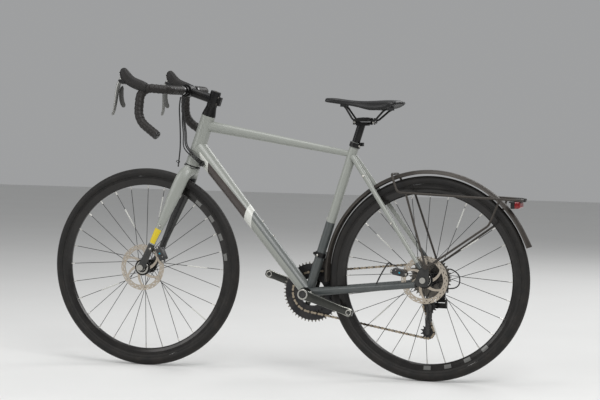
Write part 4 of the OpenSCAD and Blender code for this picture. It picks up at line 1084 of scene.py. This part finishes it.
# ---- Hoods ----
# Rubber covers over the lever bodies: a round palm rest that rises to a horn at the front, with a
# fine ribbed grip panel on each side.
hood_rubber, net, bsdf, grain_node = start_material("hood_rubber", grain=2000.0, roughness=0.58, spread=0.15,
                                                    bump=0.35, specular=0.35)
place = add_node(net, "ShaderNodeTexCoord").outputs["Object"]
ribs = add_node(net, "ShaderNodeTexWave", {"Vector": place, "Scale": 120.0, "Distortion": 0.0},
                wave_type="BANDS", bands_direction="DIAGONAL", wave_profile="SIN")
parts = add_node(net, "ShaderNodeSeparateXYZ", {0: place})
band = add_node(net, "ShaderNodeMapRange", {"Value": parts.outputs["Z"], "From Min": 0.994, "From Max": 0.990})
relief = add_node(net, "ShaderNodeBump", {"Strength": 0.5, "Distance": 0.0005, "Height": maths(
    net, "MULTIPLY", ribs.outputs["Fac"], band.outputs[0]), "Normal": grain_node.outputs["Normal"]})
net.links.new(relief.outputs["Normal"], bsdf.inputs["Normal"])
set_colour(net, bsdf, layered(net, linear(28, 26, 25), linear(20, 19, 19), grain_node.outputs["Mask"]), 0.08)
for s, side in ((1, "left"), (-1, "right")):
    y = s * 0.210
    hood = bmesh.new()
    loft(hood, [(mm(x, y * 1000, z), Vector((0, 1, 0)) * w / 1000,
                 Vector((-math.sin(math.radians(a)), 0, math.cos(math.radians(a)))) * h / 1000)
                for x, z, a, w, h in ((517, 965.4, 3, 15.3, 15.3), (519, 965.8, 4, 16.5, 16.6), (530, 969.5, 7, 16.8, 17.8), (545, 974.5, 12, 16.6, 18.4),
                                      (559, 979.5, 19, 15.9, 18.2), (572, 985.5, 28, 15.2, 18.0), (582, 992, 38, 14.8, 18.6),
                                      (590, 1000, 48, 14.6, 18.6), (596.5, 1009, 57, 14.2, 17.4), (601, 1017.5, 64, 13.2, 15.2),
                                      (603.5, 1024, 68, 11.6, 12.6), (605, 1029, 70, 8.4, 8.8), (605.6, 1031.4, 70, 4.2, 4.4))],
         32, 2.3)
    piece = add_piece(f"hood_cover_{side}", hood, hood_rubber, "steering", 55)
    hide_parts(f"hood_{side}")
    plate = bmesh.new()
    loft(plate, [(mm(x, y * 1000, z), Vector((0, 1, 0)) * w / 1000, Vector((0.94, 0, -0.34)) * 0.0009)
                 for x, z, w in ((611.6, 998, 3.5), (612.6, 1001, 5.4), (615.2, 1010, 5.6), (616.9, 1016, 4.8), (617.3, 1018.5, 2.6))], 16, 3)
    add_piece(f"hood_plate_{side}", plate, lever_grey, "steering")
    bracket = bmesh.new()
    for q in (-1, 1):
        loft(bracket, [(mm(x, y * 1000 + q * 9.6, z), Vector((0, 1, 0)) * 0.0013, Vector((-math.sin(math.radians(24)), 0, math.cos(math.radians(24)))) * h)
                       for x, z, h in ((596, 984, 0.0088), (606, 986.5, 0.0080), (613, 988.6, 0.0062), (617.5, 990.2, 0.0030))], 16, 3)
    bmesh.ops.create_cone(bracket, cap_ends=True, segments=20, radius1=0.0024, radius2=0.0024, depth=0.0226,
                          matrix=Matrix.Translation(mm(610, y * 1000, 988)) @ Matrix.Rotation(math.pi / 2, 4, "X"))
    loft(bracket, [(mm(x, y * 1000, z), Vector((0, 1, 0)) * 0.0088, Vector((-math.sin(math.radians(20)), 0, math.cos(math.radians(20)))) * h)
                   for x, z, h in ((590, 985, 0.0090), (599, 987.5, 0.0088), (602.5, 989, 0.0060))], 16, 3)
    add_piece(f"lever_bracket_{side}", bracket, gloss_black, "steering")

    # brake lever: a curved alloy blade, flattened across, with a flared tip; it turns on a pin
    lever = bmesh.new()
    route = smooth_route([mm(609, y * 1000, 996), mm(617, y * 1000, 984), mm(623, y * 1000 + s * 1, 966),
                          mm(626.5, y * 1000 + s * 4, 938), mm(628.5, y * 1000 + s * 8, 910),
                          mm(631.5, y * 1000 + s * 10.5, 888), mm(637, y * 1000 + s * 12, 872)], 4)
    count = len(route)
    widths = [0.0068 + 0.0012 * math.sin(math.pi * i / (count - 1)) if i < count - 2 else 0.0052 for i in range(count)]
    depths = [0.0078 - 0.0036 * min(1, i / (count * 0.75)) for i in range(count)]
    depths[-1] = 0.0018
    loft(lever, oval_path(route, widths, depths), 20, 2.6)
    bmesh.ops.create_cone(lever, cap_ends=True, segments=24, radius1=0.0062, radius2=0.0062, depth=0.0160,
                          matrix=Matrix.Translation(mm(610, y * 1000, 988)) @ Matrix.Rotation(math.pi / 2, 4, "X"))
    piece = add_piece(f"lever_blade_{side}", lever, lever_grey, f"brake_lever_{side}", 50)
    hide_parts(f"lever_{side}")

    # shift paddle: a thin cranked plate inboard of the blade
    inner = s * 0.199
    outline = [(610, 972), (618, 966), (622.5, 955), (623.5, 940), (621.5, 922), (617, 908), (611, 899.5),
               (604.5, 898.5), (600.5, 902.5), (600.5, 909), (604.5, 919), (607.5, 934), (608, 950), (607.5, 963)]
    paddle = flat_plate("paddle_part", [[(x / 1000 - 0.61, (z - 935) / 1000) for x, z in outline]], 0.0028, 0.0005)
    paddle.transform(Matrix.Translation((0.61, inner, 0.935)) @ Matrix.Rotation(math.pi / 2, 4, "X"))
    piece = add_piece(f"paddle_plate_{side}", paddle, plain_material(
        f"paddle_grey_{side}", linear(84, 84, 82), dust=0.08, tone=0.12, grain=1500.0, roughness=0.34, spread=0.12,
        bump=0.1, metallic=0.4), f"shift_paddle_{side}", 30)
    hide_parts(f"paddle_{side}")

# ---- Brake calipers ----
# Flat-mount hydraulic calipers: forged bodies with a pad pin, mounting bolts and a round boss
# that carries a cyan bleed cap.
caliper_grey = plain_material("caliper_grey", linear(62, 62, 63), dust=0.2, tone=0.2, grain=1300.0, roughness=0.4,
                              spread=0.15, bump=0.2, metallic=0.5)
bleed_cyan = plain_material("bleed_cyan", linear(20, 150, 175), dust=0.1, tone=0.1, grain=1500.0, roughness=0.35,
                            spread=0.1, bump=0.05)
for wheel, body, at, turn, mirror in (("rear", "frame", mm(-336, 55.5, 366), -10, 1), ("front", "steering", mm(524, 39.7, 393), -66, -1)):
    place = Matrix.Translation(at) @ Matrix.Rotation(math.radians(turn), 4, "Y") @ Matrix.Diagonal((mirror, 1, 1, 1))
    block = bmesh.new()
    for x, y, z, dx, dy, dz in ((0, 10.2, 0, 44, 12.6, 22), (0, -10.2, 0, 44, 12.6, 22), (0, 0, 8.2, 30, 22, 6),
                                (25.5, 8.5, -1, 8, 14, 13), (-25, 8.5, -1, 9, 14, 13)):
        bmesh.ops.create_cube(block, size=1, matrix=Matrix.Translation(mm(x, y, z)) @ Matrix.Diagonal((dx / 1000, dy / 1000, dz / 1000, 1)))
    bmesh.ops.bevel(block, geom=block.edges[:], offset=0.0026, segments=3, profile=0.5, affect="EDGES", material=-1)
    for y in (17.0,):
        bmesh.ops.create_cone(block, cap_ends=True, segments=28, radius1=0.0098, radius2=0.0086, depth=0.0026,
                              matrix=Matrix.Translation(mm(-3, y, 0)) @ Matrix.Rotation(-math.pi / 2, 4, "X"))
    block.transform(place)
    piece = add_piece(f"{wheel}_caliper_body", block, caliper_grey, body, 40)
    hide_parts(f"{wheel}_caliper")
    metal = bmesh.new()
    for x in (25.5, -25):
        spot = place @ Vector(mm(x, 15.2, -1))
        button_bolt(metal, spot, place.to_3x3() @ Vector((0, 1, 0)), 0.0040)
    button_bolt(metal, place @ Vector(mm(11, 16.2, 5)), place.to_3x3() @ Vector((0, 1, 0)), 0.0026)
    add_piece(f"{wheel}_caliper_bolts", metal, silver_alloy, body)
    dot = bmesh.new()
    bmesh.ops.create_cone(dot, cap_ends=True, segments=20, radius1=0.0030, radius2=0.0026, depth=0.0016,
                          matrix=place @ Matrix.Translation(mm(-3, 18.8, 0)) @ Matrix.Rotation(-math.pi / 2, 4, "X"))
    add_piece(f"{wheel}_caliper_dot", dot, bleed_cyan, body)

# ---- Saddle ----
# A foam pad under a stretched synthetic cover on a nylon base; the cover is finely pebbled all
# over.
saddle_cover, net, bsdf, grain_node = start_material("saddle_cover", grain=1700.0, roughness=0.4, spread=0.1,
                                                     bump=0.1, specular=0.4)
set_colour(net, bsdf, layered(net, linear(16, 16, 17), linear(11, 11, 12), grain_node.outputs["Mask"]), 0.04)
skirt_plan = ((-50, 6, 931, 939), (-53, 12, 929, 941), (-62, 16, 927.5, 942.2), (-80, 18.5, 925.5, 942), (-100, 20, 923, 940.5),
              (-125, 22, 920, 938), (-150, 25.5, 916.5, 935.8), (-175, 31, 912, 934.6), (-195, 38, 907.5, 934.4),
              (-215, 46, 904, 935), (-235, 54.5, 903.5, 936), (-255, 62, 905.5, 937.2), (-272, 68, 909, 938),
              (-288, 72, 914, 938.2), (-300, 70, 919, 937.5), (-309, 62, 924, 935.5), (-314, 50, 927, 933))


def saddle_shell(mesh, crest_drop, narrow, lift, bowl):
    """Ribs across the saddle from the nose to the tail, bridged into a closed shell."""
    rings = []
    for x, w, low, crest in skirt_plan:
        w, crest, low = w * narrow, crest - crest_drop, low + lift
        row = []
        for k in range(17):
            a = math.radians(-90 + 180 * k / 16)
            yy = w * math.copysign(abs(math.sin(a)) ** 0.8, math.sin(a))
            z = low + (crest - low) * abs(math.cos(a)) ** 0.42 if 0 < k < 16 else low
            groove = 2.4 * math.exp(-(yy / 7.5) ** 2) if -292 < x < -105 else 0
            row.append(mesh.verts.new(mm(x, yy, z - groove)))
        for part in (0.9, 0.45, 0.0, -0.45, -0.9):
            row.append(mesh.verts.new(mm(x, w * part, low + bowl * (crest - low) * (1 - abs(part)) + 1.0)))
        rings.append([mesh.edges.new((row[k], row[(k + 1) % len(row)])) for k in range(len(row))])
    for first, second in zip(rings, rings[1:]):
        bmesh.ops.bridge_loops(mesh, edges=first + second)
    for ring in (rings[0], rings[-1]):
        bmesh.ops.holes_fill(mesh, edges=ring)


saddle = bmesh.new()
saddle_shell(saddle, 0, 1.0, 0, 0.35)
bmesh.ops.subdivide_edges(saddle, edges=saddle.edges[:], cuts=1, smooth=1.0, use_grid_fill=True)
pad = add_piece("saddle_padding", saddle, saddle_cover, "saddle_and_post", 75)
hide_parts("saddle_pad")
base = bmesh.new()
saddle_shell(base, 8, 0.86, -0.6, 0.4)
for x, y, z0, z1 in ((-116, 16, 913, 925), (-268, 46, 903, 914)):
    bmesh.ops.create_cube(base, size=1, matrix=Matrix.Translation(mm(x, 0, (z0 + z1) / 2))
                          @ Matrix.Diagonal((0.020, y / 500, (z1 - z0) / 1000, 1)))
base_piece = add_piece("saddle_shell", base, moulded_black, "saddle_and_post", 40)
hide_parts("saddle_base")
rails = bmesh.new()
for s in (-1, 1):
    tube_along(rails, filleted([mm(-112, s * 11, 921), mm(-126, s * 15, 909), mm(-154, s * 22, 868.9), mm(-230, s * 22, 868.9),
                                mm(-262, s * 36, 900), mm(-276, s * 42, 909)], (0.008, 0.016, 0.016, 0.01), 5), 0.0035, 14)
rail_piece = add_piece("saddle_rail_tubes", rails, black_alloy, "saddle_and_post", 60)
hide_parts("saddle_rails")
post_fittings = bmesh.new()
yoke = bmesh.new()
for x in (-157, -223):
    for s in (-1, 1):
        button_bolt(post_fittings, mm(x, s * 15.6, 862.5), (0, s, 0), 0.0044, 0.003)
    bmesh.ops.create_cone(yoke, cap_ends=True, segments=24, radius1=0.0055, radius2=0.0055, depth=0.0310,
                          matrix=Matrix.Translation(mm(x, 0, 862.5)) @ Matrix.Rotation(math.pi / 2, 4, "X"))
    bmesh.ops.create_cone(yoke, cap_ends=True, segments=20, radius1=0.0026, radius2=0.0026, depth=0.022,
                          matrix=Matrix.Translation(mm(x, 0, 866)))
for s in (-1, 1):
    loft(yoke, [(mm(x, s * 21.5, z), Vector((0, 1, 0)) * 0.0062, Vector((0, 0, 1)) * h)
                for x, z, h in ((-166, 871, 0.0030), (-170, 872, 0.0052), (-190, 873, 0.0062), (-210, 872, 0.0052), (-214, 871, 0.0030))], 20, 3)
add_piece("post_yoke", yoke, black_alloy, "saddle_and_post", 40)
add_piece("saddle_clamp_bolts", post_fittings, silver_alloy, "saddle_and_post")

# ---- Rear mudguard ----
# A rolled aluminium guard in matte bronze-grey, its lip flared at the tail; the rack carries it.
bronze = plain_material("rack_bronze", linear(58, 53, 48), dust=0.12, tone=0.18, grain=1400.0, roughness=0.52,
                        spread=0.14, bump=0.25, metallic=0.3)
finish_nodes(("rack_rails", "rack_struts"), bronze)
guard = bmesh.new()
last = None
steps = 84
for i in range(steps + 1):
    deg = -4 + 165 * i / steps
    tail = max(0.0, (deg - 152) / 9)
    out = Vector((math.cos(math.radians(deg)), 0, math.sin(math.radians(deg))))
    row = []
    outline = []
    for k in range(15):
        a = math.radians(-62 + 124 * k / 14)
        outline.append((0.3403 + 0.0237 * math.cos(a), 0.0237 * math.sin(a)))
    lip = [(0.3500, 0.0217), (0.3497, 0.0207), (0.3512, 0.0203)]
    inner = []
    for k in range(15):
        a = math.radians(62 - 124 * k / 14)
        inner.append((0.3402 + 0.0226 * math.cos(a), 0.0226 * math.sin(a)))
    shape = outline + inner
    for r, y in shape:
        flare = tail * tail * 0.004 * (1 - (abs(y) / 0.024) ** 2)
        row.append(guard.verts.new(REAR + out * (r + flare) + Vector((0, y, 0))))
    edges = [guard.edges.new((row[k], row[(k + 1) % len(row)])) for k in range(len(row))]
    if last:
        bmesh.ops.bridge_loops(guard, edges=last + edges)
    else:
        bmesh.ops.holes_fill(guard, edges=edges)
    last = edges
bmesh.ops.holes_fill(guard, edges=last)
guard_piece = add_piece("mudguard_shell", guard, bronze, "frame", 50)
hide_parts("rear_mudguard")

# ---- Tail light ----
# A moulded black lamp with a bracket in the same black under the rack; its red lens is ribbed inside.
red_lens, net, bsdf, grain_node = start_material("red_lens", grain=900.0, roughness=0.22, spread=0.08, bump=0.05,
                                                 coat=0.25, coat_rough=0.1)
place = add_node(net, "ShaderNodeTexCoord").outputs["Object"]
ribs = add_node(net, "ShaderNodeTexWave", {"Vector": place, "Scale": 95.0, "Distortion": 0.0},
                wave_type="BANDS", bands_direction="Y", wave_profile="SIN")
relief = add_node(net, "ShaderNodeBump", {"Strength": 0.5, "Distance": 0.0006, "Height": ribs.outputs["Fac"],
                                          "Normal": grain_node.outputs["Normal"]})
net.links.new(relief.outputs["Normal"], bsdf.inputs["Normal"])
bsdf.inputs["Emission Color"].default_value = linear(160, 10, 14)
bsdf.inputs["Emission Strength"].default_value = 0.05
set_colour(net, bsdf, layered(net, linear(150, 12, 18), linear(105, 6, 12), ribs.outputs["Fac"]), 0.05)
case = bmesh.new()
for x0, x1, y, z0, z1 in ((-714, -700, 33, 588, 611), (-731, -690, 14, 606.2, 611), (-744, -710, 11, 610, 622.4)):
    bmesh.ops.create_cube(case, size=1, matrix=Matrix.Translation(mm((x0 + x1) / 2, 0, (z0 + z1) / 2))
                          @ Matrix.Diagonal(((x1 - x0) / 1000, y / 500, (z1 - z0) / 1000, 1)))
bmesh.ops.bevel(case, geom=case.edges[:], offset=0.0018, segments=3, profile=0.5, affect="EDGES", material=-1)
piece = add_piece("tail_light_case", case, moulded_black, "frame")
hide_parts("tail_light")
lens = bmesh.new()
bmesh.ops.create_cube(lens, size=1, matrix=Matrix.Translation(mm(-722.4, 0, 599.2)) @ Matrix.Diagonal((0.0172, 0.0644, 0.0214, 1)))
bmesh.ops.bevel(lens, geom=[e for e in lens.edges if min(v.co.x for v in e.verts) < -0.730], offset=0.0060, segments=5,
                profile=0.5, affect="EDGES", material=-1)
add_piece("tail_light_lens", lens, red_lens, "frame")

# ---- Seat collar and mech clamp bolts ----
# Steel pinch bolts: one behind the seat collar and one on the front mech's band.
clamp_bolts = bmesh.new()
seat_top = BB + SEAT_DIR * 0.532
button_bolt(clamp_bolts, seat_top + Vector((-0.9558, 0, -0.294)) * 0.0175 + Vector((0, 0.0085, 0)), (-0.35, 1, -0.1), 0.0042, 0.003)
button_bolt(clamp_bolts, BB + SEAT_DIR * 0.137 + Vector((0.006, 0.0186, 0)), (0.25, 1, 0.05), 0.0046, 0.003)
add_piece("clamp_bolts", clamp_bolts, silver_alloy, "frame")
